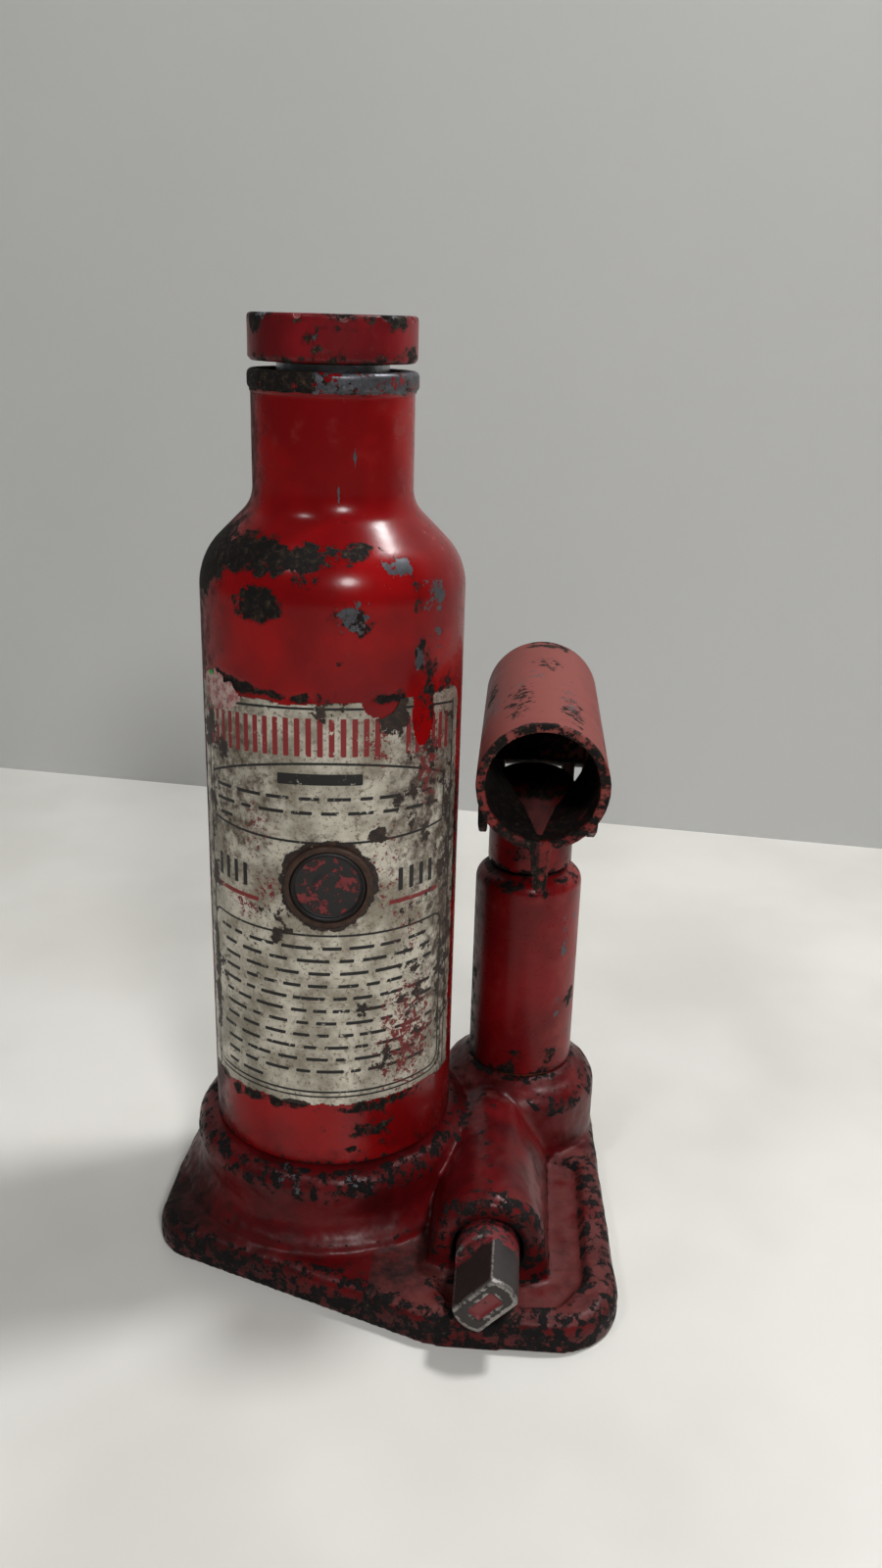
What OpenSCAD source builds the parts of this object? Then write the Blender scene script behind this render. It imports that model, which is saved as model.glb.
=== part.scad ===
// Hydraulic bottle jack.
// Origin: axis of the ram on the ground. +X points to the pump, -Y to the operator, +Z up.

/* [Bottle] */
// Outer radius of the oil tank
tank_r = 28; // [26:0.5:30]
// Wall of the oil tank
tank_wall = 2; // [1.5:0.1:2]
// Outer radius of the tank's neck
neck_r = 16.6; // [16.6:0.1:17]
// Height of the joint between base and tank
tank_z = 26.6; // [26:0.1:27.5]
// Height of the neck's rim
rim_z = 195.9; // [190:0.1:200]

/* [Ram] */
// Radius of the ram
ram_r = 11.4; // [11:0.1:11.5]
// Hydraulic lift of the ram
ram_travel = 115; // [90:1:118]
// Radius of the extension screw
screw_r = 7; // [6.5:0.1:7]
// Pitch of the extension screw
screw_pitch = 3; // [2:0.5:4]
// Radius of the saddle
saddle_r = 17; // [16:0.5:18]
// Thickness of the saddle
saddle_h = 9; // [8:0.1:10]

/* [Pump] */
// Distance of the pump from the ram, along X
pump_x = 45; // [44:0.5:46]
// Distance of the pump from the ram, along Y
pump_y = 23.7; // [22:0.1:25]
// Outer radius of the pump cylinder
pump_r = 13; // [12.5:0.1:13.2]
// Height of the pump cylinder's top
pump_top = 80.6; // [78:0.1:82]
// Radius of the pump piston
piston_r = 6; // [5:0.5:6]
// Radius of the piston's head
head_r = 10.2; // [10:0.1:10.4]
// Height of the pin through the piston's head
pivot_z = 98.5; // [97:0.1:99]
// Distance between the socket's two pins
lever_arm = 18; // [17.5:0.1:18.5]
// Angle of the line between the two pins
lever_rake = 15; // [12:1:18]

/* [Handle socket] */
// Outer radius of the socket's tube
socket_r = 13.5; // [13.2:0.1:13.8]
// Wall of the socket's tube
socket_wall = 2; // [1.8:0.1:2]
// Height of the socket's axis
socket_z = 118.7; // [118:0.1:120]
// Front lip of the socket
socket_front = -27.6; // [-30:0.1:-25]
// Rear lip of the socket
socket_back = 41.2; // [40:0.1:43]

/* [Release valve] */
// Distance of the release valve from the ram, along X
valve_x = 39.5; // [38:0.5:40]
// Height of the release valve's axis
valve_z = 14; // [13.5:0.1:14.5]
// Radius of the release valve's rod
valve_r = 7; // [6.5:0.1:7]
// Outer end of the release valve's rod
valve_end = -55; // [-58:0.5:-52]

/* [Base] */
// Thickness of the base plate
plate_h = 8; // [7:0.5:9]
// Radius of the round shoulder under the tank
boss_r = 33; // [32:0.5:34]
// Radius of the round shoulder under the pump
pump_boss_r = 19.6; // [19:0.1:20]

/* [Hidden] */
$fn = 72;
hull_fn = 32;
eps = 0.01;
run_fit = 0.05; // radial clearance of a running fit

// Heights along the ram's axis
seat_z = 26; // top face of the base inside the tank
cylinder_z = 22; // lower end of the pressure cylinder
cylinder_top = 181;
cylinder_bore = 12;
cylinder_r = 14.2;
ram_z = 36; // lower end of the ram
ram_top = 197;
saddle_gap = 0.3;
saddle_z = ram_top + saddle_gap;
saddle_top = saddle_z + saddle_h;
neck_inner = neck_r - tank_wall;

// Inside of the ram
ram_bore = 8.1;
nut_z = 180; // lower end of the threaded stretch in the ram
screw_z = 112; // lower end of the extension screw

// Shoulder of the tank
shoulder_z = 153;
shoulder_r = 13.5;
neck_fillet = 7;
neck_bottom = shoulder_z + shoulder_r * sin(45) + (tank_r - shoulder_r + shoulder_r * cos(45))
    - (neck_r + neck_fillet - neck_fillet * cos(45)) + neck_fillet * sin(45);
rim_r = 17.4;
rim_h = 4.2;

// Oil filler on the operator's side
filler_z = 95;
filler_turn = 6; // degrees from -Y towards +X
filler_r = 9.2;
plug_r = 7.9;
plug_stem_r = 6.4;

// Label on the tank
label_low = 42;
label_high = 134.4;
label_angle = 144;
label_t = 0.2;

// Pump
pump_seat = 27.7;
spigot_r = 9.5;
spigot_z = 16;
pump_bore = piston_r + run_fit;
packing_r = 8.5;
piston_z = 34;
head_z = 81.5;
head_top = 104.4;
pin_r = 3;
rivet_head = 0.6; // height of a pin's riveted end
link_y = pump_y + lever_arm * cos(lever_rake);
link_top_z = pivot_z + lever_arm * sin(lever_rake);
link_low_z = 35;
link_w = 9;
link_eye = 5.2; // outer radius of the eye at each end of a link
link_t = 3;
link_in = 7.2; // inner face of each link, from the pump's middle plane
lug_half = 7;
lug_r = 4.2;
open_gap = 0.65; // radial clearance of the open pivot at the top of the links
open_shift = 0.5; // the pivot's hole is this far behind its pin at rest

// Socket
socket_in = socket_r - socket_wall;
socket_x = pump_x + 1;
grip_length = 26; // stretch of the bore that is sized to the handle
grip_step = 0.4; // the bore behind that stretch is this much tighter
ear_low = 93.6;
ear_corner = 97.4; // height of the front corner of each cheek
ear_front = -4;
ear_back = link_y + 5.5;
slot_outline = [[0.3, -23.4], [3.3, -8], [6.3, -1], [11.5, 7], [11.5, 60]];
flap_low = 103.5;
flap_y = 33.7; // front face of the two flaps that stop the handle
flap_t = 1.4;
flap_gap = 0.6; // half distance between the flaps
flap_shift = -0.8;

// Release valve
valve_mouth = -37.5;
valve_thread = 6;
thread_front = -28;
valve_tip = -10.9;
ball_r = 2.5;
rod_flat = 4.1; // half distance between the flats on the rod's end
rod_turn = 46;
valve_gap = 0.8; // radial gap round the rod in the tunnel's mouth
tunnel_r = 12.6;
tray_depth = 2.4; // depth of the recess in the base plate

// Oil passages
reservoir_x = 18;
reservoir_y = 10;
passage_r = 1.6;
flow_angle = atan2(pump_y, pump_x);
flow_length = norm([pump_x, pump_y]);
check_r = 3.3;
check_from = flow_length - 26;
check_length = 12;
suction_z = 7.8; // height of the suction passage
ball_seat_z = 11.4;
check_ball_r = 3;
suction_angle = atan2(pump_y - reservoir_y, pump_x - reservoir_x);
suction_length = norm([pump_x - reservoir_x, pump_y - reservoir_y]);
plug_hole_r = 2.8;
plug_from = suction_length + 12;

// Corners of the base plate: x, y and radius
plate_corners = [
    [-27, -20, 11.2], [31.9, -32.4, 20], [54, -37.5, 14.5],
    [51.5, 33.5, 13.5], [-20, 22, 16], [-28, 6, 10]
];

// Points of an arc, both ends included
function arc(cx, cy, r, from, to, n = 12) =
    [for (i = [0:n]) let (a = from + (to - from) * i / n) [cx + r * cos(a), cy + r * sin(a)]];

// Outline of the tank's wall at a given distance inside its outer face
function tank_side(inset) = let (
        cx = tank_r - shoulder_r,
        fillet = neck_fillet + inset
    ) concat(
        [[tank_r - inset, tank_z]],
        arc(cx, shoulder_z, shoulder_r - inset, 0, 45),
        arc(neck_r - inset + fillet, neck_bottom, fillet, 225, 180)
    );

module ring(outer, inner, z, h) {
    translate([0, 0, z])
        difference() {
            cylinder(r = outer, h = h);
            translate([0, 0, -eps])
                cylinder(r = inner, h = h + 2 * eps);
        }
}

// A rod along X, centred on the pump's middle plane
module cross_rod(y, z, r, half) {
    translate([pump_x - half, y, z])
        rotate([0, 90, 0])
            cylinder(r = r, h = 2 * half);
}

// A rod along Y from one place to another
module rod_y(x, z, r, from, to) {
    translate([x, from, z])
        rotate([-90, 0, 0])
            cylinder(r = r, h = to - from);
}

// A pin along X with low riveted ends
module riveted_pin(y, z, half) {
    cross_rod(y, z, pin_r, half);
    cross_rod(y, z, pin_r - 0.7, half + rivet_head);
}

// Base -----------------------------------------------------------------

module plate_shape() {
    hull()
        for (c = plate_corners)
            translate([c[0], c[1], 0]) {
                cylinder(r = c[2], h = plate_h - 3, $fn = hull_fn * 2);
                cylinder(r = c[2] - 0.8, h = plate_h - 1, $fn = hull_fn * 2);
                cylinder(r = c[2] - 2.6, h = plate_h, $fn = hull_fn * 2);
            }
}

module bottle_boss() {
    rotate_extrude()
        polygon(concat(
            [[0, 2], [boss_r + 3.2, 2], [boss_r + 3.2, plate_h - 0.6]],
            arc(boss_r + 7, plate_h + 8, 7.6, 235, 185, 8),
            arc(boss_r - 4.5, 21.5, 4.5, 0, 75, 8),
            [[tank_r, seat_z], [0, seat_z]]
        ));
}

module pump_boss() {
    translate([pump_x, pump_y, 0])
        rotate_extrude()
            polygon(concat(
                [[0, 2], [pump_boss_r, 2], [pump_boss_r, 19]],
                arc(pump_boss_r - 6, 20, 6, 0, 70, 8),
                [[pump_r + 0.4, pump_seat], [0, pump_seat]]
            ));
}

module web() {
    hull() {
        translate([24, 4, 2])
            cylinder(r = 12, h = 16, $fn = hull_fn);
        translate([24, 4, 2])
            cylinder(r = 8, h = 20, $fn = hull_fn);
        translate([38, 20, 2])
            cylinder(r = 16, h = 16, $fn = hull_fn);
        translate([38, 20, 2])
            cylinder(r = 12, h = 20, $fn = hull_fn);
    }
}

module valve_tunnel() {
    hull() {
        rod_y(valve_x, valve_z, tunnel_r - 2.6, valve_mouth, valve_mouth + 5);
        rod_y(valve_x, valve_z, tunnel_r - 1.1, valve_mouth + 0.7, valve_mouth + 5);
        rod_y(valve_x, valve_z, tunnel_r, valve_mouth + 3, valve_mouth + 8);
        rod_y(valve_x - 1.5, valve_z + 2, tunnel_r - 3.6, 4, 14);
        translate([valve_x - tunnel_r - 0.8, valve_mouth + 1.5, 3])
            cube([2 * tunnel_r + 1.6, 46, 6]);
    }
}

// A shallow recess inside the plate's rim, with sloping sides
module recess(corners) {
    hull()
        for (p = corners)
            translate([p[0], p[1], plate_h - tray_depth]) {
                cylinder(r = 1.5, h = 6, $fn = hull_fn);
                translate([0, 0, tray_depth + 0.3])
                    cylinder(r = 3.4, h = 4, $fn = hull_fn);
            }
}

module fulcrum_lug() {
    translate([pump_x - lug_half, link_y, 0])
        rotate([90, 0, 90])
            linear_extrude(2 * lug_half) {
                translate([-lug_r, 4])
                    square([2 * lug_r, link_low_z - 4]);
                translate([0, link_low_z])
                    circle(r = lug_r);
            }
}

// A hole drilled upwards from below an oil passage
module riser(x, y, z, r) {
    translate([x, y, z - r - 0.7])
        cylinder(r = r, h = 24);
}

// A level hole drilled from one place in a given direction
module drilling(x, y, z, angle, r, from, to) {
    translate([x, y, z])
        rotate([0, 90, angle])
            translate([0, 0, from])
                cylinder(r = r, h = to - from);
}

module passages() {
    // pressure side: check valve, passage to the cylinder, passage to the release valve
    riser(0, 0, valve_z, 2.5);
    drilling(0, 0, valve_z, flow_angle, passage_r, 0, flow_length);
    drilling(0, 0, valve_z, flow_angle, check_r, check_from, check_from + check_length);
    drilling(0, 0, valve_z, 0, passage_r, 0, valve_x);
    rod_y(valve_x, valve_z, passage_r, -10, 0);
    // return side
    riser(reservoir_x, -reservoir_y, valve_z, passage_r);
    drilling(reservoir_x, -reservoir_y, valve_z, 0, passage_r, 0, valve_x - reservoir_x);
    // suction side
    riser(reservoir_x, reservoir_y, suction_z, passage_r);
    drilling(reservoir_x, reservoir_y, suction_z, suction_angle, passage_r, 0, suction_length + 13);
    drilling(reservoir_x, reservoir_y, suction_z, suction_angle, plug_hole_r, plug_from, plug_from + 20);
    riser(pump_x, pump_y, suction_z, passage_r);
    translate([pump_x, pump_y, ball_seat_z])
        cylinder(r = check_r + 0.3, h = 20);
}

module base_casting() {
    color("firebrick")
        difference() {
            union() {
                difference() {
                    plate_shape();
                    recess([[58.4, 2], [58.8, -37], [54, -43.5], [48, -44.5], [48, 6]]);
                    recess([[54, -43.5], [33, -44.5], [31, -42], [48, -38]]);
                }
                bottle_boss();
                pump_boss();
                web();
                valve_tunnel();
                fulcrum_lug();
            }
            // seat of the pressure cylinder
            translate([0, 0, cylinder_z - 1])
                cylinder(r = cylinder_r, h = 20);
            // seat of the pump cylinder
            translate([pump_x, pump_y, spigot_z])
                cylinder(r = spigot_r, h = 20);
            // release valve
            rod_y(valve_x, valve_z, valve_r + valve_gap, valve_end - 2, thread_front);
            rod_y(valve_x, valve_z, valve_thread, thread_front - 1, -9.5);
            rod_y(valve_x, valve_z, ball_r + 0.3, -12, -6);
            // pin of the links
            cross_rod(link_y, link_low_z, pin_r, 30);
            passages();
        }
}

// Tank and cylinder ----------------------------------------------------

module at_filler() {
    rotate([0, 0, filler_turn])
        translate([0, 0, filler_z])
            rotate([90, 0, 0])
                children();
}

module reservoir_tank() {
    color("crimson")
        difference() {
            rotate_extrude()
                polygon(concat(
                    tank_side(0),
                    [[neck_r, rim_z - rim_h], [rim_r - 0.3, rim_z - rim_h + 0.5]],
                    arc(rim_r - 1.2, rim_z - rim_h + 1.7, 1.2, -20, 0, 3),
                    arc(rim_r - 1.2, rim_z - 1.2, 1.2, 0, 90, 6),
                    [[neck_inner, rim_z]],
                    [for (i = [len(tank_side(tank_wall)) - 1:-1:0]) tank_side(tank_wall)[i]]
                ));
            at_filler()
                translate([0, 0, tank_r - 10])
                    cylinder(r = filler_r, h = 20);
        }
}

module tank_base_gasket() {
    color("dimgray")
        ring(tank_r - 0.6, tank_r - 3.4, seat_z, tank_z - seat_z);
}

module pressure_cylinder() {
    color("slategray")
        ring(cylinder_r, cylinder_bore, cylinder_z, cylinder_top - cylinder_z);
}

module cylinder_gasket() {
    color("peru")
        ring(cylinder_r, cylinder_bore - 1, cylinder_z - 1, 1);
}

module gland_nut() {
    color("gray")
        difference() {
            ring(neck_inner, ram_r + run_fit, cylinder_top, rim_z - 0.7 - cylinder_top);
            ring(neck_inner + 1, neck_inner - 1.4, cylinder_top + 3, 3);
            ring(ram_r + 1.4, ram_r - 1, cylinder_top + 9, 3);
        }
}

module ram_wiper_seal() {
    color("black")
        ring(ram_r + 1.4, ram_r + 0.02, cylinder_top + 9, 3);
}

module tank_top_seal() {
    color("black")
        ring(neck_inner, neck_inner - 1.4, cylinder_top + 3, 3);
}

module label_plate() {
    color("silver")
        difference() {
            rotate([0, 0, filler_turn - 90 - label_angle / 2])
                rotate_extrude(angle = label_angle)
                    translate([tank_r, label_low])
                        square([label_t, label_high - label_low]);
            at_filler()
                translate([0, 0, tank_r - 10])
                    cylinder(r = filler_r + 0.2, h = 20);
        }
}

module filler_boss() {
    color("sienna")
        at_filler()
            difference() {
                translate([0, 0, tank_r - 5])
                    cylinder(r = filler_r, h = 6.2);
                translate([0, 0, tank_r - 6])
                    cylinder(r = plug_stem_r + 0.1, h = 10);
                translate([0, 0, tank_r - 0.6])
                    cylinder(r = plug_r + 0.1, h = 10);
            }
}

module filler_plug() {
    color("black")
        at_filler() {
            translate([0, 0, tank_r - 6])
                cylinder(r = plug_stem_r, h = 6);
            difference() {
                translate([0, 0, tank_r - 0.5])
                    cylinder(r = plug_r, h = 1.5);
                translate([0, 0, tank_r + 0.6])
                    cylinder(r = plug_r - 2, h = 2);
            }
        }
}

// Ram --------------------------------------------------------------------

module ram() {
    color("lightsteelblue")
        difference() {
            translate([0, 0, ram_z])
                cylinder(r = ram_r, h = ram_top - ram_z);
            translate([0, 0, screw_z - 8])
                cylinder(r = ram_bore, h = nut_z - screw_z + 8);
            translate([0, 0, nut_z - 1])
                cylinder(r = screw_r + run_fit, h = 30);
            translate([0, 0, ram_z - 1])
                cylinder(r = 4, h = 15);
        }
}

module ram_backup_washer() {
    color("gray")
        ring(cylinder_bore - 0.1, 4, ram_z - 2, 2);
}

module ram_cup_seal() {
    color("saddlebrown")
        difference() {
            ring(cylinder_bore - 0.03, 4, ram_z - 8, 6);
            ring(cylinder_bore - 2, 8, ram_z - 9, 4);
        }
}

module cup_screw() {
    color("gray") {
        translate([0, 0, ram_z - 11])
            cylinder(r = 7.5, h = 3);
        translate([0, 0, ram_z - 8])
            cylinder(r = 4, h = 22);
    }
}

module screw_stop_ring() {
    color("gray")
        ring(ram_bore - 0.1, screw_r - 0.7, screw_z + 2, 2);
}

module extension_screw() {
    threads = floor((saddle_z - screw_z - 10) / screw_pitch);
    color("silver") {
        difference() {
            translate([0, 0, screw_z])
                cylinder(r = screw_r, h = saddle_z - screw_z);
            ring(screw_r + 1, screw_r - 0.8, screw_z + 1.9, 2.2);
            for (i = [0:threads])
                translate([0, 0, screw_z + 6 + i * screw_pitch])
                    rotate_extrude()
                        polygon([
                            [screw_r - 0.8, screw_pitch * 0.3], [screw_r + 0.1, 0],
                            [screw_r + 0.1, screw_pitch * 0.6]
                        ]);
        }
        translate([0, 0, saddle_z - eps])
            cylinder(r = 5, h = 5);
    }
}

module saddle() {
    notches = 12;
    color("firebrick")
        difference() {
            translate([0, 0, saddle_z])
                rotate_extrude()
                    polygon(concat(
                        [[5, 0], [saddle_r - 0.7, 0], [saddle_r, 0.7]],
                        arc(saddle_r - 0.8, saddle_h - 0.8, 0.8, 0, 90, 4),
                        [[0, saddle_h], [0, 5 - eps], [5, 5 - eps]]
                    ));
            ring(8.4, 7, saddle_top - 1, 4);
            for (i = [0:notches - 1])
                rotate([0, 0, (i + 0.5) * 360 / notches])
                    translate([8, -0.7, saddle_top - 1])
                        cube([20, 1.4, 4]);
        }
}

// Pump -------------------------------------------------------------------

module pump_cylinder() {
    color("firebrick")
        translate([pump_x, pump_y, 0])
            difference() {
                rotate_extrude()
                    polygon(concat(
                        [[0, spigot_z], [spigot_r, spigot_z], [spigot_r, pump_seat + 0.3]],
                        [[pump_r, pump_seat + 0.3]],
                        arc(pump_r - 3.4, pump_top - 3.9, 3.4, 0, 70, 8),
                        [[pump_r - 3.4, pump_top], [0, pump_top]]
                    ));
                translate([0, 0, spigot_z - 1])
                    cylinder(r = pump_bore, h = 80);
                translate([0, 0, pump_top - 9])
                    cylinder(r = packing_r, h = 10);
            }
}

module pump_gasket() {
    color("peru")
        translate([pump_x, pump_y, 0])
            ring(pump_r - 0.4, spigot_r, pump_seat, 0.3);
}

module pump_packing() {
    color("black")
        translate([pump_x, pump_y, 0])
            ring(packing_r, pump_bore, pump_top - 9, 5);
}

module packing_nut() {
    color("dimgray")
        translate([pump_x, pump_y, 0])
            ring(packing_r, pump_bore, pump_top - 4, 4);
}

module pump_piston() {
    color("firebrick")
        translate([pump_x, pump_y, 0])
            difference() {
                rotate_extrude()
                    polygon(concat(
                        [[0, piston_z], [4, piston_z], [4, piston_z + 4], [piston_r, piston_z + 4]],
                        [[piston_r, head_z], [head_r - 0.6, head_z], [head_r, head_z + 0.6]],
                        arc(head_r - 4, head_top - 4, 4, 0, 90, 8),
                        [[0, head_top]]
                    ));
                translate([-30, 0, pivot_z])
                    rotate([0, 90, 0])
                        cylinder(r = pin_r, h = 60);
            }
}

module piston_cup() {
    color("saddlebrown")
        translate([pump_x, pump_y, 0])
            ring(pump_bore - 0.03, 4, piston_z, 4);
}

module suction_ball() {
    color("silver")
        translate([pump_x, pump_y, ball_seat_z + check_ball_r])
            sphere(r = check_ball_r);
}

module at_check_valve() {
    translate([0, 0, valve_z])
        rotate([0, 90, flow_angle])
            translate([0, 0, check_from])
                children();
}

module discharge_ball() {
    color("silver")
        at_check_valve()
            translate([0, 0, check_length - check_ball_r])
                sphere(r = check_ball_r);
}

// Compression spring, swept as rings of eight points along a helix
module discharge_spring() {
    wire = 0.35;
    coil_r = 2.4;
    turns = 4;
    steps = 18;
    sides = 8;
    length = 5.2;
    rings = turns * steps;
    points = [for (i = [0:rings]) let (a = 360 * i / steps, z = wire + length * i / rings)
        for (j = [0:sides - 1]) let (b = 360 * j / sides, r = coil_r + wire * cos(b))
            [r * cos(a), r * sin(a), z + wire * sin(b)]];
    walls = [for (i = [0:rings - 1]) for (j = [0:sides - 1])
        [i * sides + j, i * sides + (j + 1) % sides, (i + 1) * sides + (j + 1) % sides, (i + 1) * sides + j]];
    first_cap = [for (j = [sides - 1:-1:0]) j];
    last_cap = [for (j = [0:sides - 1]) rings * sides + j];
    color("silver")
        at_check_valve()
            polyhedron(points = points, faces = concat(walls, [first_cap, last_cap]));
}

// Closes the drilled end of the suction passage
module passage_plug() {
    color("dimgray")
        translate([reservoir_x, reservoir_y, suction_z])
            rotate([0, 90, suction_angle])
                translate([0, 0, plug_from])
                    difference() {
                        cylinder(r = plug_hole_r, h = 5.5);
                        translate([-0.4, -plug_hole_r - 1, 4.5])
                            cube([0.8, 2 * plug_hole_r + 2, 3]);
                    }
}

module oil_strainer() {
    color("darkkhaki")
        translate([reservoir_x, reservoir_y, 0])
            ring(3.4, 0.6, seat_z, 0.6);
}

// Links and socket ---------------------------------------------------------

module fulcrum_pin() {
    color("dimgray")
        riveted_pin(link_y, link_low_z, link_in + link_t + 0.4);
}

module fulcrum_links() {
    color("firebrick")
        for (side = [-1, 1])
            translate([pump_x + side * (link_in + link_t / 2) - link_t / 2, link_y, 0])
                rotate([90, 0, 90])
                    linear_extrude(link_t)
                        difference() {
                            union() {
                                translate([-link_w / 2, link_low_z])
                                    square([link_w, link_top_z - link_low_z]);
                                translate([0, link_low_z])
                                    circle(r = link_eye);
                                translate([open_shift, link_top_z])
                                    circle(r = link_eye);
                            }
                            translate([0, link_low_z])
                                circle(r = pin_r + run_fit);
                            translate([open_shift, link_top_z])
                                circle(r = pin_r + open_gap);
                        }
}

module link_pin() {
    color("dimgray")
        translate([socket_x - pump_x, 0, 0])
            riveted_pin(link_y, link_top_z, socket_r);
}

module piston_pin() {
    color("dimgray")
        translate([socket_x - pump_x, 0, 0])
            riveted_pin(pump_y, pivot_z, socket_r);
}

module socket_slot() {
    translate([0, 0, ear_low - 10])
        linear_extrude(socket_z - ear_low + 10)
            polygon(concat(
                [for (p = slot_outline) [socket_x + p[0], p[1]]],
                [for (i = [len(slot_outline) - 1:-1:0]) [socket_x - slot_outline[i][0], slot_outline[i][1]]]
            ));
}

// One flat cheek under the tube, seen from the side
module ear_outline() {
    polygon(concat(
        [[ear_front, socket_z], [ear_front + 4.6, ear_corner + 2]],
        arc(ear_front + 7.2, ear_corner + 1.6, 1.6, 190, 260, 4),
        [[ear_front + 14, ear_low]],
        arc(ear_back - 6, ear_low + 6, 6, 270, 360, 6),
        arc(ear_back - 6, socket_z - 8, 6, 0, 90, 6),
        [[socket_back - 2, socket_z]]
    ));
}

// Two flaps folded across the inside of the socket, with a rib along each free edge
module handle_stop() {
    intersection() {
        union() {
            rod_y(socket_x, socket_z, socket_in + 0.5, flap_y - 2, flap_y + flap_t);
            translate([socket_x - socket_in - 0.3, flap_y - 2, flap_low])
                cube([2 * socket_in + 0.6, flap_t + 2, socket_z - flap_low]);
        }
        for (side = [0, 1])
            translate([socket_x + flap_shift, flap_y, flap_low])
                mirror([side, 0, 0]) {
                    translate([flap_gap, 0, 0])
                        cube([2 * socket_r, flap_t, 2 * socket_r]);
                    translate([flap_gap, -0.5, 0.6])
                        cube([2.2, 1, 2 * socket_r]);
                }
    }
}

module handle_socket() {
    color("indianred") {
        difference() {
            union() {
                difference() {
                    rod_y(socket_x, socket_z, socket_r, socket_front, socket_back);
                    socket_slot();
                }
                for (side = [-1, 1])
                    translate([socket_x + side * (socket_r - socket_wall / 2) - socket_wall / 2, 0, 0])
                        rotate([90, 0, 90])
                            linear_extrude(socket_wall)
                                ear_outline();
                // curled tab under the front lip
                translate([socket_x, socket_front + 2.4, socket_z - socket_in - 0.4])
                    rotate([90, 0, 0])
                        linear_extrude(2.4)
                            polygon([
                                [-2.4, 0], [2.4, 0], [2.2, -5], [1.8, -10], [1, -11.2], [-0.2, -11.2],
                                [-1, -10], [-1.6, -5]
                            ]);
            }
            rod_y(socket_x, socket_z, socket_in, socket_front - 1, socket_front + grip_length);
            rod_y(socket_x, socket_z, socket_in - grip_step, socket_front, socket_back + 1);
            cross_rod(pump_y, pivot_z, pin_r + run_fit, 30);
            cross_rod(link_y, link_top_z, pin_r, 30);
        }
        handle_stop();
    }
}

// Release valve --------------------------------------------------------------

module release_valve() {
    color("dimgray") {
        difference() {
            intersection() {
                rod_y(valve_x, valve_z, valve_r, valve_end, valve_mouth - 4);
                translate([valve_x, 0, valve_z])
                    rotate([0, -rod_turn, 0])
                        translate([-20, valve_end - 1, -rod_flat])
                            cube([40, 60, 2 * rod_flat]);
            }
            translate([valve_x, valve_end - 1, valve_z])
                rotate([0, -rod_turn, 0])
                    translate([-3.4, 0, -1.6])
                        cube([6.8, 1.7, 3.2]);
        }
        rod_y(valve_x, valve_z, valve_r, valve_mouth - 4, thread_front - 4);
        rod_y(valve_x, valve_z, valve_r - 2, thread_front - 4, thread_front - 1.6);
        rod_y(valve_x, valve_z, valve_r, thread_front - 1.6, thread_front - 0.3);
        rod_y(valve_x, valve_z, valve_thread - run_fit, thread_front - 0.3, -13);
        rod_y(valve_x, valve_z, ball_r, -13, valve_tip);
    }
}

module release_o_ring() {
    color("black")
        translate([valve_x, thread_front - 2.8, valve_z])
            rotate([90, 0, 0])
                rotate_extrude()
                    translate([valve_r - 0.35, 0])
                        circle(r = 1, $fn = 24);
}

module release_ball() {
    color("silver")
        translate([valve_x, valve_tip + ball_r, valve_z])
            sphere(r = ball_r);
}

base_casting();
reservoir_tank();
tank_base_gasket();
pressure_cylinder();
cylinder_gasket();
gland_nut();
ram_wiper_seal();
tank_top_seal();
label_plate();
filler_boss();
filler_plug();
pump_cylinder();
pump_gasket();
pump_packing();
packing_nut();
suction_ball();
discharge_ball();
discharge_spring();
passage_plug();
oil_strainer();
fulcrum_pin();
ram();
ram_backup_washer();
ram_cup_seal();
cup_screw();
screw_stop_ring();
extension_screw();
saddle();
pump_piston();
piston_cup();
piston_pin();
handle_socket();
link_pin();
fulcrum_links();
release_valve();
release_o_ring();
release_ball();
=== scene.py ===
import math
import bmesh
import bpy
import numpy as np
from mathutils import Matrix, Vector


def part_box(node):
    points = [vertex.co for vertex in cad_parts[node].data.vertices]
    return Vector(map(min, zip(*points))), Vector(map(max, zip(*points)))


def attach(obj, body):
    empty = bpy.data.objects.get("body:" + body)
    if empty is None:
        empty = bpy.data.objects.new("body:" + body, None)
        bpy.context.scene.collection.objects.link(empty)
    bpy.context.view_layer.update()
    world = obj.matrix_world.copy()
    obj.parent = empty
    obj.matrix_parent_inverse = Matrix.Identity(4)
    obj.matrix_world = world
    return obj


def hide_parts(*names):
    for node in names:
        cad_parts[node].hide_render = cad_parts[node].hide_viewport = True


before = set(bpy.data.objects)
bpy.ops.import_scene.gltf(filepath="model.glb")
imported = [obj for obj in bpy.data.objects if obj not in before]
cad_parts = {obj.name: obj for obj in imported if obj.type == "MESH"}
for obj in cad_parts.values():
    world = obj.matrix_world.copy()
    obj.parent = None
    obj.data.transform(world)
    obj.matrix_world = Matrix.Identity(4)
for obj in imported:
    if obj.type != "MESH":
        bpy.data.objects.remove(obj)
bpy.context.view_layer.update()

scene = bpy.context.scene
mm = 0.001
perMm = 1 / mm  # pattern scale for bumps of 1 mm


# sizes are in millimetres, and turn to metres when a mesh is made

def boxOf(node):  # lowest and highest corner of a node, in millimetres
    return [np.array(corner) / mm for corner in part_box(node)]


def paint(hexText):  # sRGB hex to a linear colour
    parts = [int(hexText[i:i + 2], 16) / 255 for i in (1, 3, 5)]
    return [c / 12.92 if c <= 0.04045 else ((c + 0.055) / 1.055) ** 2.4 for c in parts] + [1.0]


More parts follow.
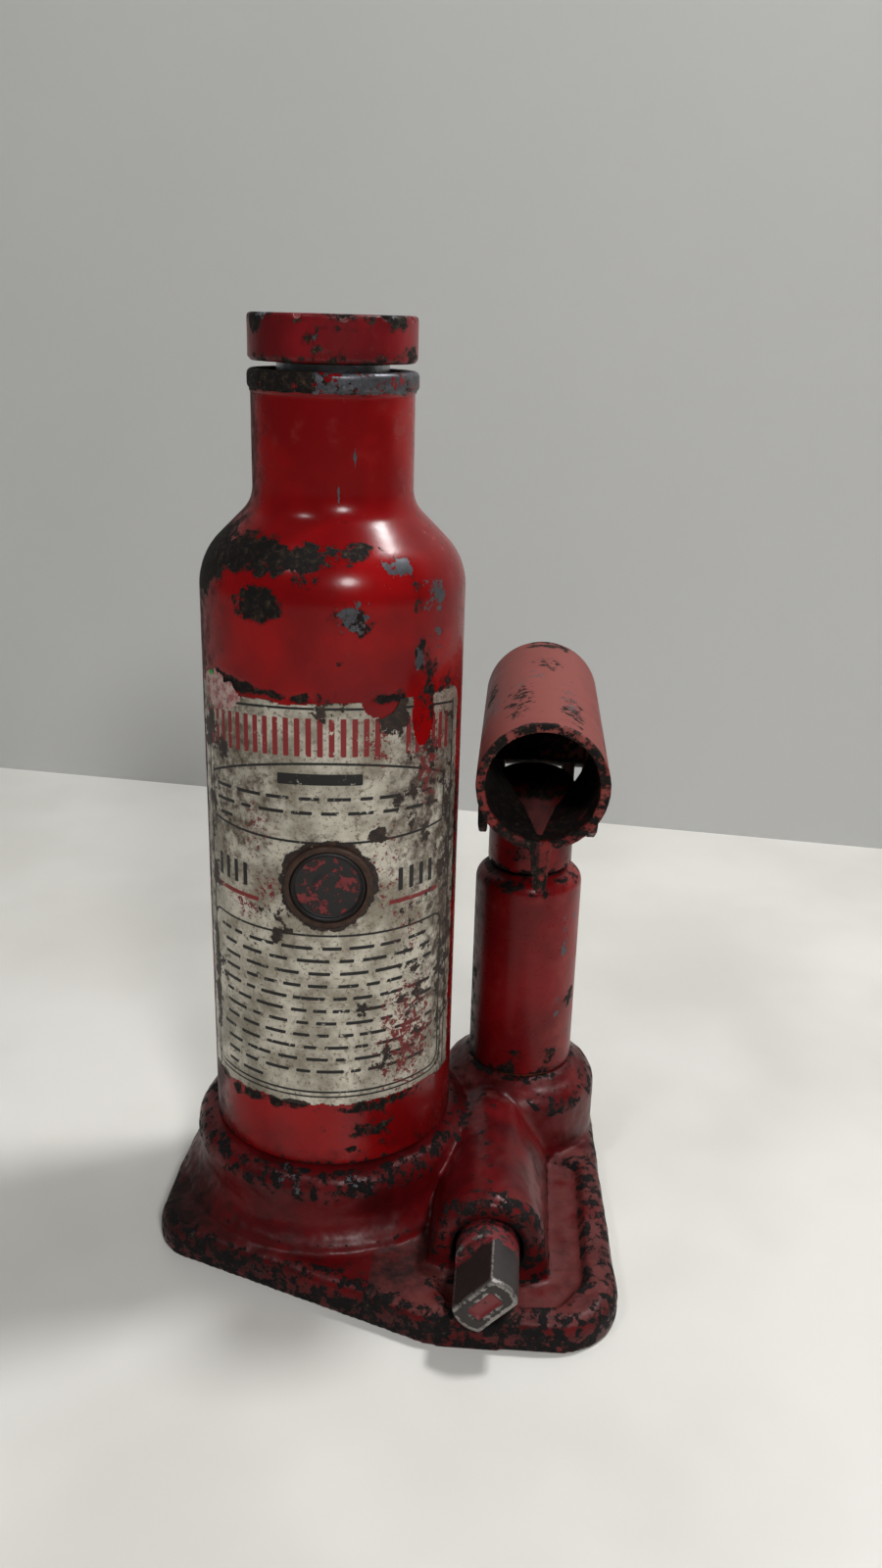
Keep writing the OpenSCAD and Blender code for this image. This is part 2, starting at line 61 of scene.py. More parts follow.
def makePiece(name, points, faces, body, stands=()):
    mesh = bpy.data.meshes.new(name)
    mesh.from_pydata((np.asarray(points, float) * mm).tolist(), [], faces)
    mesh.update()
    return place(name, mesh, body, stands)


def place(name, mesh, body, stands=()):
    obj = bpy.data.objects.new(name, mesh)
    scene.collection.objects.link(obj)
    mesh.shade_smooth()
    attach(obj, body)
    if stands:
        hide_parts(*stands)
    return obj


def pointsOf(mesh):
    flat = np.zeros(len(mesh.vertices) * 3, np.float32)
    mesh.vertices.foreach_get("co", flat)
    return flat.reshape(-1, 3).astype(float) / mm


def movePoints(mesh, points):
    mesh.vertices.foreach_set("co", (points * mm).astype(np.float32).ravel())
    mesh.update()


def bake(obj):  # the object's mesh with its modifiers applied
    view = bpy.context.evaluated_depsgraph_get()
    return bpy.data.meshes.new_from_object(obj.evaluated_get(view))


def layer(obj, name, values):  # one number for each point, which the materials read
    made = obj.data.attributes.new(name, "FLOAT", "POINT")
    made.data.foreach_set("value", np.asarray(values, np.float32))


def lumps(points, size, seed):  # smooth random bumps from 0 to 1, about that size in mm
    p = points / size + seed * 7.31
    cell = np.floor(p).astype(np.int64)
    part = p - cell
    part = part * part * (3 - 2 * part)
    total = np.zeros(len(p))
    for corner in range(8):
        step = np.array([corner & 1, corner >> 1 & 1, corner >> 2 & 1])
        c = cell + step
        h = (c[:, 0] * 73856093) ^ (c[:, 1] * 19349663) ^ (c[:, 2] * 83492791)
        h = (h ^ (h >> 13)) * 1274126177 & 0x7fffffff
        weight = np.prod(np.where(step == 1, part, 1 - part), axis=1)
        total += weight * ((h ^ (h >> 16)) & 0xffff) / 65535
    return total


def rough(points, size, seed, rounds=4):  # the same with finer bumps on top
    total, weight = 0, 0
    for i in range(rounds):
        total = total + lumps(points, size / 2 ** i, seed + i) * 0.6 ** i
        weight += 0.6 ** i
    return total / weight


def ramp(values, low, high):  # 0 below low, 1 above high, smooth between
    t = np.clip((values - low) / (high - low), 0, 1)
    return t * t * (3 - 2 * t)


def patch(u, v, box):  # 1 in the middle of a box, a half on its rounded outline, 0 well outside
    u0, u1, v0, v1 = box[:4]
    far = ((u - (u0 + u1) / 2) / ((u1 - u0) / 2)) ** 2 + ((v - (v0 + v1) / 2) / ((v1 - v0) / 2)) ** 2
    return np.clip(1 - far / 2, 0, 1) * (box[4] if len(box) > 4 else 1)


def patches(u, v, boxes):
    return np.max([patch(u, v, box) for box in boxes], axis=0)


def edgeLift(mesh, rounds=2):  # how far each point stands proud of its neighbours: high on outer edges
    points = pointsOf(mesh)
    ends = np.zeros(len(mesh.edges) * 2, np.int32)
    mesh.edges.foreach_get("vertices", ends)
    a, b = ends[0::2], ends[1::2]
    count = np.maximum(np.bincount(a, minlength=len(points)) + np.bincount(b, minlength=len(points)), 1)

    def average(values):
        return (np.bincount(a, values[b], len(points)) + np.bincount(b, values[a], len(points))) / count

    normal = np.zeros(len(points) * 3, np.float32)
    mesh.vertices.foreach_get("normal", normal)
    normal = normal.reshape(-1, 3)
    middle = np.stack([average(points[:, i]) for i in range(3)], axis=1)
    for i in range(rounds * 3):
        middle = np.stack([average(middle[:, i]) for i in range(3)], axis=1)
    lift = np.sum((points - middle) * normal, axis=1)
    for i in range(rounds):
        lift = average(lift)
    return lift


def recast(name, node, body, grain, relax, rounds=None, seam=None):
    # the CAD node as one even skin with softened edges; round stretches go back to their exact radius
    # a seam is a box that closes a gap in the node
    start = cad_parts[node].data.copy()
    if seam:
        joined = bmesh.new()
        joined.from_mesh(start)
        made = bmesh.ops.create_cube(joined, size=1)["verts"]
        middle, size = (np.array(seam[0]) + seam[1]) / 2 * mm, (np.array(seam[1]) - seam[0]) * mm
        for vertex in made:
            vertex.co = Vector(vertex.co[i] * size[i] + middle[i] for i in range(3))
        joined.to_mesh(start)
        joined.free()
    source = bpy.data.objects.new(name + "Source", start)
    scene.collection.objects.link(source)
    skin = source.modifiers.new("skin", "REMESH")
    skin.mode, skin.voxel_size, skin.use_smooth_shade = "VOXEL", grain * mm, True
    soft = source.modifiers.new("soft", "SMOOTH")
    soft.factor, soft.iterations = 0.5, relax
    mesh = bake(source)
    bpy.data.objects.remove(source)
    points = pointsOf(mesh)
    for at, along, radius, reach in rounds or []:
        spot, way = np.array(at, float), np.array(along, float)
        off = points - spot
        length = off @ way
        side = off - length[:, None] * way
        away = np.linalg.norm(side, axis=1)
        near = (abs(away - radius) < 0.25) & (length > reach[0]) & (length < reach[1])
        points[near] += side[near] * (radius / away[near] - 1)[:, None]
    low, high = boxOf(node)
    movePoints(mesh, np.clip(points, low, high))
    mesh.materials.clear()
    return place(name, mesh, body, [node])


def revolve(name, outline, steps, body, stands, frameMatrix=None):
    # a closed outline of (radius, height) turned round an axis
    outline = np.array(outline, float)
    turn = np.linspace(0, 2 * math.pi, steps, endpoint=False)
    r, z = outline[:, 0], outline[:, 1]
    points = np.stack([np.outer(np.cos(turn), r), np.outer(np.sin(turn), r), np.outer(np.ones(steps), z)],
                      axis=2)
    points = points.reshape(-1, 3)
    if frameMatrix is not None:
        m = np.array(frameMatrix)
        points = points @ m[:3, :3].T + m[:3, 3]
    n = len(outline)
    faces = [(i * n + j, ((i + 1) % steps) * n + j, ((i + 1) % steps) * n + (j + 1) % n, i * n + (j + 1) % n)
             for i in range(steps) for j in range(n)]
    obj = makePiece(name, points, faces, body, stands)
    tidy = bmesh.new()
    tidy.from_mesh(obj.data)
    bmesh.ops.remove_doubles(tidy, verts=list(tidy.verts), dist=1e-6)
    bmesh.ops.recalc_face_normals(tidy, faces=tidy.faces)
    tidy.to_mesh(obj.data)
    tidy.free()
    obj.data.shade_smooth()
    return obj


def arc(cr, cz, radius, start, end, steps):
    turns = [math.radians(start + (end - start) * i / steps) for i in range(steps + 1)]
    return [(cr + radius * math.cos(turn), cz + radius * math.sin(turn)) for turn in turns]


def fill(outline, step):  # extra points along the long sides of an outline
    made = []
    for (r0, z0), (r1, z1) in zip(outline, outline[1:] + outline[:1]):
        parts = max(1, int(math.hypot(r1 - r0, z1 - z0) / step))
        made += [(r0 + (r1 - r0) * i / parts, z0 + (z1 - z0) * i / parts) for i in range(parts)]
    return made


def addNode(material, kind, settings=None, links=None, out=0):
    # adds one node; a link is a socket of another node or a plain value
    node = material.node_tree.nodes.new("ShaderNode" + kind)
    for key, value in (settings or {}).items():
        if key == "stops":
            ends = node.color_ramp.elements
            while len(ends) < len(value):
                ends.new(0.5)
            for end, (at, colour) in zip(ends, value):
                end.position, end.color = at, colour
        else:
            setattr(node, key, value)
    for key, value in (links or {}).items():
        if isinstance(value, bpy.types.NodeSocket):
            material.node_tree.links.new(value, node.inputs[key])
        else:
            node.inputs[key].default_value = value
    return node.outputs[out] if node.outputs else node


def newMaterial(name):
    material = bpy.data.materials.new(name)
    material.use_nodes = True
    material.node_tree.nodes.clear()
    return material


def dress(material, **links):  # the one surface shader, with its links
    surface = addNode(material, "BsdfPrincipled", {}, {k.replace("_", " "): v for k, v in links.items()})
    addNode(material, "OutputMaterial", {}, {"Surface": surface})
    return material


times, plus, minus, larger = ({"operation": kind} for kind in ("MULTIPLY", "ADD", "SUBTRACT", "MAXIMUM"))


def grains(m,
           sizes):  # a random grain for each name: size in mm, fineness, roughness and, if any, its stretch
    where = addNode(m, "TexCoord", out=3)
    made = {}
    for name, (size, detail, roughness, *stretch) in sizes.items():
        at = addNode(m, "Mapping", {}, {"Vector": where, "Scale": stretch[0]}) if stretch else where
        made[name] = addNode(m, "TexNoise", {}, {"Vector": at, "Scale": perMm / size, "Detail": detail,
                                                 "Roughness": roughness})
    return made


def wearAreas(m, areas):
    # for each name, where a finish has changed: an amount (a number or a layer of the mesh) broken up
    # by a grain with some strength, then cut to a soft edge between two levels
    made = {}
    for name, (amount, grain, strength, low, high) in areas.items():
        if isinstance(amount, str):
            amount = addNode(m, "Attribute", {"attribute_name": amount}, out=2)
        shift = addNode(m, "Math", minus, {0: grain, 1: 0.5})
        level = addNode(m, "Math", {"operation": "MULTIPLY_ADD"}, {0: shift, 1: strength, 2: amount})
        made[name] = addNode(m, "MapRange", {"interpolation_type": "SMOOTHSTEP"},
                             {"Value": level, "From Min": low, "From Max": high})
    return made


def coats(m, base, layers, kind="RGBA"):  # colours, or plain values, laid over a base in turn by their shares
    under, over, out = (6, 7, 2) if kind == "RGBA" else (2, 3, 0)
    for share, coat in layers:
        base = addNode(m, "Mix", {"data_type": kind}, {0: share, under: base, over: coat}, out)
    return base


def relief(m, strength, parts):  # bump from heights in mm, each multiplied by the patterns that follow it
    total = 0.0
    for height, *patterns in parts:
        for pattern in patterns:
            height = addNode(m, "Math", times, {0: height, 1: pattern})
        total = addNode(m, "Math", plus, {0: total, 1: height})
    return addNode(m, "Bump", {}, {"Strength": strength, "Distance": mm, "Height": total})


def enamelPaint(name, look):
    # sprayed enamel over cast or drawn steel: even gloss with faint orange peel, chips with a darker edge,
    # rust scale or grey steel in the chips, and a film of old oil and dust; that dark film is also laid on
    # as painted shade, and the paler faded coat also stands for painted sheen
    m = newMaterial(name)
    g = grains(m, {"chip": (look["chipSize"], 7, 0.66), "grit": (0.9, 4, 0.7), "bare": (2.6, 6, 0.68),
                   "cloud": (look["cloud"], 3, 0.55), "fade": (6, 5, 0.6), "rub": (1.1, 5, 0.7, (1, 1, 0.35)),
                   "grime": (3.2, 5, 0.62), "scale": (1.5, 6, 0.72), "steel": (1.3, 5, 0.7),
                   "sheen": (1.4, 5, 0.7), "crust": (0.8, 4, 0.75), "peel": (look["peel"], 2, 0.5),
                   "dirt": (0.9, 3, 0.6)})
    crumbled = addNode(m, "Math", {"operation": "MULTIPLY_ADD"}, {0: g["grit"], 1: 0.174, 2: g["chip"]})
    wear = wearAreas(m, {
        "chipped": ("chip", crumbled, 2.3, 0.7, 0.76), "halo": ("chip", crumbled, 2.3, 0.53, 0.72),
        "bared": ("bare", g["bare"], 2.4, 0.5, 0.55), "faded_and_sheen": ("fade", g["fade"], 1.6, 0.3, 0.9),
        "clouded": (0.5, g["cloud"], 1, 0.36, 0.64), "rubbed": (0.5, g["rub"], 1, 0.62, 0.72),
        "grimy_and_shaded": ("grime", g["grime"], 1.3, 0.2, 1.0)})
    # rust: nearly black scale with brown and a little pale bloom
    scale = addNode(m, "ValToRGB", {"stops": [(0.3, paint("#080505")), (0.52, paint(look["rustDark"])),
                                              (0.62, paint(look["rust"])), (0.76, paint("#5c4c38"))]},
                    {"Fac": g["scale"]})
    steel = coats(m, paint("#2c2c30"), [(g["steel"], paint(look["steel"]))])
    rubShare = addNode(m, "Math", times, {0: wear["rubbed"], 1: 0.3})
    haloShare = addNode(m, "Math", times, {0: wear["halo"], 1: 0.5})
    # the faded coat stands for faded paint and also for painted sheen where the light falls; the dark film
    # for oil and dust and also for painted shade
    colour = coats(m, paint(look["deep"]), [
        (wear["clouded"], paint(look["red"])), (wear["faded_and_sheen"], paint(look["faded_and_sheen"])),
        (rubShare, paint(look["faded_and_sheen"])), (haloShare, paint(look["halo"])),
        (wear["grimy_and_shaded"], paint(look["grime"])), (wear["chipped"], scale), (wear["bared"], steel)])
    gloss = coats(m, look["gloss"], [(wear["faded_and_sheen"], look["gloss"] + 0.16)], "FLOAT")
    gloss = addNode(m, "Math", {"operation": "MULTIPLY_ADD"}, {0: g["sheen"], 1: 0.08, 2: gloss})
    gloss = coats(m, gloss, [(wear["grimy_and_shaded"], 0.7), (wear["chipped"], 0.78), (wear["bared"], 0.42)], "FLOAT")
    shine = addNode(m, "Math", times, {0: wear["bared"], 1: 0.75})
    lost = addNode(m, "Math", larger, {0: wear["chipped"], 1: wear["bared"]})
    # the paint is 0.12 thick, and rust swells in its place
    bump = relief(m, 1.0, [(-0.12, lost), (0.32, wear["chipped"], g["crust"]),
                           (look["peelHeight"], g["peel"]), (0.05, wear["grimy_and_shaded"], g["dirt"])])
    return dress(m, Base_Color=colour, Metallic=shine, Roughness=gloss, Specular_IOR_Level=0.22, Normal=bump)


def oldSteel(name, look):
    # turned or drawn steel: fine tool marks, dark oil stain, rust in patches
    m = newMaterial(name)
    g = grains(m, {"stain": (look["stain"], 5, 0.62), "marks": (0.5, 3, 0.6, look["grain"]),
                   "rust": (2.2, 6, 0.7), "bloom": (0.8, 4, 0.7), "crust": (0.6, 3, 0.7)})
    wear = wearAreas(m, {"stained": (0.5, g["stain"], 1, 0.4, 0.62),
                         "rusted": (look["rustShare"], g["rust"], 2.2, 0.5, 0.6)})
    markShare = addNode(m, "Math", times, {0: g["marks"], 1: 0.5})
    bloom = coats(m, paint("#1c0f0a"), [(g["bloom"], paint("#4a2a18"))])
    colour = coats(m, paint(look["clean"]), [(wear["stained"], paint(look["oily"])),
                                             (markShare, paint(look["bright"])), (wear["rusted"], bloom)])
    gloss = coats(m, look["rough"], [(wear["stained"], look["rough"] + 0.18), (wear["rusted"], 0.8)], "FLOAT")
    shine = coats(m, look["metal"], [(wear["rusted"], 0.1)], "FLOAT")
    bump = relief(m, 0.8, [(0.02, g["marks"]), (0.16, wear["rusted"], g["crust"])])
    return dress(m, Base_Color=colour, Metallic=shine, Roughness=gloss, Normal=bump)


def softRubber(name, look):
    # moulded rubber or leather: matt, with a fine grain and a dusty bloom
    m = newMaterial(name)
    g = grains(m, {"skin": (look["grain"], 4, 0.65)})
    colour = coats(m, paint(look["dark"]), [(g["skin"], paint(look["light"]))])
    gloss = coats(m, look["rough"], [(g["skin"], look["rough"] + 0.2)], "FLOAT")
    return dress(m, Base_Color=colour, Roughness=gloss, Normal=relief(m, 0.6, [(0.06, g["skin"])]))


# grime is the dark of old oil and dust and also of painted shade; faded is the pale of faded paint and also
# of painted sheen
enamel = {"red": "#8c090c", "deep": "#6e0609", "faded_and_sheen": "#82302c", "halo": "#2c0806", "grime": "#120907",
          "rustDark": "#0f0a07", "rust": "#30241a", "steel": "#6c6d72",
          "gloss": 0.17, "cloud": 22, "chipSize": 3.4, "peel": 1.2, "peelHeight": 0.012}

tankPaint = enamelPaint("Sprayed red enamel on drawn steel tube", enamel)
castPaint = enamelPaint("Brushed red enamel on cast iron", dict(
    enamel, red="#5c090d", deep="#3e0609", faded_and_sheen="#5c2a28", grime="#150a08", gloss=0.3, chipSize=2.4,
    rustDark="#090606", rust="#1c1412", peel=2.4, peelHeight=0.1, cloud=14))
pumpPaint = enamelPaint("Red enamel on turned steel pump", dict(
    enamel, red="#780e12", deep="#5c080c", chipSize=3.2, gloss=0.24))
saddlePaint = enamelPaint("Red enamel on a turned steel saddle", dict(
    enamel, red="#7c141a", deep="#560c11", chipSize=3, gloss=0.28, faded_and_sheen="#84403c"))
socketPaint = enamelPaint("Sun-faded red enamel on rolled steel sheet", dict(
    enamel, red="#7c2622", deep="#681c1a", faded_and_sheen="#80403a", chipSize=2.2, gloss=0.38, cloud=9))

honedSteel = oldSteel("Honed steel ram with an oil film", {
    "clean": "#8d9095", "oily": "#5d5a55", "bright": "#c3c5c8", "rough": 0.22, "stain": 9,
    "grain": (1, 1, 6), "rustShare": 0.06, "metal": 0.95})
oilySteel = oldSteel("Blackened steel with old oil", {
    "clean": "#3a3634", "oily": "#1d1817", "bright": "#6b6663", "rough": 0.38, "stain": 3,
    "grain": (2, 2, 2), "rustShare": 0.16, "metal": 0.8})
rustySteel = oldSteel("Rusted steel with old paint in its pores", {
    "clean": "#33211a", "oily": "#1a100c", "bright": "#5c3f2c", "rough": 0.55, "stain": 2.5,
    "grain": (2, 2, 2), "rustShare": 0.42, "metal": 0.3})
ballSteel = oldSteel("Polished bearing steel", {
    "clean": "#a9abb0", "oily": "#8c8d91", "bright": "#d6d7da", "rough": 0.14, "stain": 4,
    "grain": (1, 1, 1), "rustShare": 0.0, "metal": 1.0})
brassMesh = oldSteel("Woven brass strainer", {
    "clean": "#8a6a2f", "oily": "#5d4620", "bright": "#c29a4b", "rough": 0.35, "stain": 1.5,
    "grain": (3, 3, 1), "rustShare": 0.0, "metal": 0.95})
copperRing = oldSteel("Annealed copper washer", {
    "clean": "#9a5d42", "oily": "#6d3d2b", "bright": "#c98464", "rough": 0.34, "stain": 3,
    "grain": (1, 1, 4), "rustShare": 0.0, "metal": 0.95})
sealRubber = softRubber("Moulded nitrile rubber", {"dark": "#0b0b0b", "light": "#1d1c1b", "grain": 0.8,
                                                   "rough": 0.5})
leatherCup = softRubber("Oiled leather cup", {"dark": "#2a170d", "light": "#57351f", "grain": 0.7,
                                              "rough": 0.55})


# CAD nodes that show or stay inside as they are
plainNodes = {
    "honedSteel": (honedSteel, ["pressure_cylinder", "gland_nut", "ram", "extension_screw"]),
    "oilySteel": (oilySteel, ["packing_nut", "passage_plug", "fulcrum_pin", "ram_backup_washer", "cup_screw",
                              "piston_pin", "link_pin"]),
    "bearing": (ballSteel, ["suction_ball", "discharge_ball", "discharge_spring", "screw_stop_ring",
                            "release_ball"]),
    "brass": (brassMesh, ["oil_strainer"]),
    "copper": (copperRing, ["cylinder_gasket", "pump_gasket"]),
    "rubber": (sealRubber, ["tank_base_gasket", "ram_wiper_seal", "tank_top_seal", "pump_packing",
                            "release_o_ring"]),
    "leather": (leatherCup, ["ram_cup_seal", "piston_cup"]),
}
for material, names in plainNodes.values():
    for name in names:
        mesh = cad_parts[name].data
        mesh.materials.clear()
        mesh.materials.append(material)
print("inner parts dressed")


# oil tank: a spun bottle with a rolled rim
tankLow, tankHigh = boxOf("reservoir_tank")
tank = {
    "r": tankHigh[0], "low": tankLow[2], "rim": tankHigh[2], "wall": 2, "neck": 16.6, "rimR": 17.4,
    "rimH": 4.2,
    "shoulderZ": 153, "shoulderR": 13.5, "fillet": 7, "steps": 420, "row": 0.65,
    "fillerTurn": 6, "fillerZ": 95, "fillerHole": 9.0,
    # rust, chips and bare spots: turn from and to in degrees, height from and to in mm, strength
    "rust": [(-88, -44, 152, 167, 0.95), (-58, -8, 158, 165.5, 0.92), (-25, 16, 160, 165, 0.85),
             (8, 30, 161, 164.6, 0.66),
             (26, 40, 160.5, 164, 0.5), (-36, -14, 149.4, 156, 0.95), (-84, -66, 52, 166, 0.55),
             (-12, 6, 156.5, 159.5, 0.5),
             (7, 27, 147.5, 154.5, 0.5), (41, 48, 151, 159, 0.56), (10, 14, 142, 144, 0.6),
             (43, 50, 134, 148, 0.52),
             (48, 60, 134, 146, 0.45), (14, 38, 29, 39, 0.6), (13, 19, 29, 31.5, 0.7),
             (-52, -43, 61, 65, 0.8),
             (-58, -20, 134, 137.5, 0.9), (-22, 10, 134, 136.4, 0.7), (20, 40, 134, 136.8, 0.72),
             (38, 78, 126, 138, 0.5),
             (-60, 0, 39.5, 42.4, 0.66), (0, 60, 39.5, 42.4, 0.6), (74, 82, 40, 130, 0.58),
             (-66, -58, 42, 134, 0.62),
             (100, 130, 60, 84, 0.6), (150, 200, 156, 165, 0.8), (200, 240, 80, 92, 0.6),
             (235, 290, 157, 166, 0.95),
             (130, 150, 120, 128, 0.62)],
    "bare": [(9, 25, 148, 154, 0.62), (28, 45, 158.5, 162.5, 0.66), (47, 62, 150, 158, 0.6),
             (44, 49, 136, 147, 0.5),
             (11.2, 12.8, 171, 175.5, 0.9), (22.4, 24, 178, 182.5, 0.8), (52, 60, 138, 150, 0.45)],
}


def tankOutline(t, inset):
    middle = t["r"] - t["shoulderR"]
    top = (t["shoulderZ"] + t["shoulderR"] * math.sin(math.radians(45))
           + (middle + t["shoulderR"] * math.cos(math.radians(45)))
           - (t["neck"] + t["fillet"] - t["fillet"] * math.cos(math.radians(45)))
           + t["fillet"] * math.sin(math.radians(45)))
    bend = t["fillet"] + inset
    return ([(t["r"] - inset, t["low"])] + arc(middle, t["shoulderZ"], t["shoulderR"] - inset, 0, 45, 16)
            + arc(t["neck"] - inset + bend, top, bend, 225, 180, 10))


outline = tankOutline(tank, 0) + [(tank["neck"], tank["rim"] - tank["rimH"] - 0.5)]
outline += arc(tank["neck"] + 0.5, tank["rim"] - tank["rimH"] - 0.5, 0.5, 180, 120, 3)
outline += arc(tank["rimR"] - 1.3, tank["rim"] - tank["rimH"] + 1.4, 1.3, -50, 0, 5)
outline += arc(tank["rimR"] - 1.2, tank["rim"] - 1.2, 1.2, 0, 90, 7)
outline += arc(tank["neck"] - tank["wall"] + 0.6, tank["rim"] - 0.6, 0.6, 90, 180, 4)
outline += list(reversed(tankOutline(tank, tank["wall"])))
tankShell = revolve("oil_tank", fill(outline, tank["row"]), tank["steps"], "jack_body",
                    ["reservoir_tank"])


def fillerFrame(t):  # the axis of the oil filler: z points out of the tank
    turn = math.radians(t["fillerTurn"])
    out = Vector((math.sin(turn), -math.cos(turn), 0))
    side = Vector((math.cos(turn), math.sin(turn), 0))
    m = Matrix((side, Vector((0, 0, 1)), out)).transposed().to_4x4()
    if m.determinant() < 0:
        m = Matrix((-side, Vector((0, 0, 1)), out)).transposed().to_4x4()
    m.translation = Vector((0, 0, t["fillerZ"]))
    return m


fillerAxis = fillerFrame(tank)
cutter = revolve("fillerCutter", [(0.001, 10), (tank["fillerHole"], 10), (tank["fillerHole"], 40),
                                  (0.001, 40)], 64,
                 "jack_body", [], fillerAxis)
drill = tankShell.modifiers.new("filler hole", "BOOLEAN")
drill.operation, drill.solver, drill.object = "DIFFERENCE", "EXACT", cutter
drilled = bake(tankShell)
tankShell.modifiers.clear()
tankShell.data = drilled
bpy.data.objects.remove(cutter)
drilled.shade_smooth()
drilled.set_sharp_from_angle(angle=math.radians(50))


def wrapAround(points):
    # turn in degrees from the operator's side towards the pump, and distance from the axis
    return np.degrees(np.arctan2(points[:, 0], -points[:, 1])), np.hypot(points[:, 0], points[:, 1])


points = pointsOf(drilled)
turn, radius = wrapAround(points)
turnWide = np.where(turn < -90, turn + 360, turn)  # the far side runs on past 180
height = points[:, 2]
wobble = rough(points, 9, 3) - 0.5
rust = np.maximum(patches(turn + wobble * 7, height + wobble * 3, tank["rust"]),
                  patches(turnWide + wobble * 7, height + wobble * 3, tank["rust"]))
rimShare = ramp(height, tank["rim"] - 4.6, tank["rim"] - 3.6)
rimLeft = ramp(-turn, -12, 22)
rust = np.maximum(rust, rimShare * (0.42 + 0.5 * rimLeft))
rust = np.maximum(rust, ramp(-height, -tank["low"] - 2.2, -tank["low"]) * 0.42)
bare = np.maximum(patches(turn, height, tank["bare"]), rimShare * (0.68 - 0.5 * rimLeft))
inner = ramp(-radius, -tank["r"] + 1.2, -tank["r"] + 1.8) * (height < 150) * 1.0
crust = ramp(rust, 0.45, 0.8) * (radius > 15)
points[:, :2] *= (1 - crust * (0.05 + 0.22 * rough(points, 1.6, 8)) / np.maximum(radius, 1))[:, None]
movePoints(drilled, points)
layer(tankShell, "chip", rust)
layer(tankShell, "bare", bare)
# evenly faded, more on the neck; the paler coat on the side towards the pump is also painted sheen where the
# light falls
layer(tankShell, "fade", 0.08 + 0.12 * ramp(height, 160, 186) + 0.25 * ramp(turn, 30, 80))
# painted shade on the tank's left side and at its right edge, where the light falls away; darker towards the
# bottom and on the inner wall
layer(tankShell, "grime", np.maximum(0.7 * ramp(-turn, 25, 70), 0.35 * ramp(-height, -40, -28))
      + 0.25 * ramp(turn, 62, 88) + 0.3 * inner)
drilled.materials.append(tankPaint)
print("tank made", len(drilled.vertices))


def foilLabel():
    # printed aluminium foil, bright with brown specks; ink has worn away in spots,
    # and rust creeps in from the edges
    m = newMaterial("Printed aluminium foil with rust creep")
    g = grains(m, {"inkWear": (1.8, 6, 0.7), "cloud": (9, 4, 0.6), "speck": (1.0, 5, 0.75),
                   "stain": (2.5, 5, 0.65),
                   "spray": (1.3, 6, 0.74), "rust": (3.4, 7, 0.7), "pit": (0.7, 3, 0.7), "scale": (1.2, 6,
                                                                                                   0.72),
                   "crust": (0.7, 4, 0.7), "dent": (4, 3, 0.5)})
    wear = wearAreas(m, {
        "black": ("inkBlack", 0.5, 0, -0.05, 0.05), "red": ("inkRed", 0.5, 0, -0.05, 0.05),
        "inkLeft": (0.5, g["inkWear"], 1, 0.66, 0.6),  # levels in falling order: 1 below them
        "bright": (0.5, g["cloud"], 1, 0.35, 0.65), "specked": (0.5, g["speck"], 1, 0.5, 0.68),
        # the stain layer darkens and dulls the foil: real stain, and on the sheet's curved sides painted
        # shade with a painted dark reflection
        "dull_and_shaded": ("stain", g["stain"], 1.7, 0.35, 0.9), "sprayed": ("spray", g["spray"], 3, 0.5, 0.6),
        "rusted": ("chip", g["rust"], 2.6, 0.5, 0.58), "pitted": (0.5, g["pit"], 1, 0.71, 0.75)})
    blackInk = addNode(m, "Math", times, {0: wear["black"], 1: wear["inkLeft"]})
    redInk = addNode(m, "Math", times, {0: wear["red"], 1: wear["inkLeft"]})
    rusty = addNode(m, "Math", larger, {0: wear["rusted"], 1: wear["pitted"]})
    scale = addNode(m, "ValToRGB", {"stops": [(0.3, paint("#0c0807")), (0.5, paint("#22140d")),
                                              (0.75, paint("#4b2f1c"))]}, {"Fac": g["scale"]})
    colour = coats(m, paint("#8c8576"), [
        (wear["bright"], paint("#cfc9bb")), (wear["specked"], paint("#6a5c4b")),
        (wear["dull_and_shaded"], paint("#4e3f33")),
        (blackInk, paint("#0f0d0c")), (redInk, paint("#7c1a1c")), (wear["sprayed"], paint("#6e1c1e")),
        (rusty, scale)])
    covered = wear["black"]
    for cover in (wear["red"], rusty, wear["sprayed"]):
        covered = addNode(m, "Math", larger, {0: covered, 1: cover})
    gloss = coats(m, 0.36, [(wear["dull_and_shaded"], 0.6), (covered, 0.62)], "FLOAT")
    shine = coats(m, 0.6, [(wear["dull_and_shaded"], 0.3), (covered, 0.0)], "FLOAT")
    bump = relief(m, 0.8, [(0.2, rusty, g["crust"]), (0.12, g["dent"])])
    return dress(m, Base_Color=colour, Metallic=shine, Roughness=gloss, Normal=bump)


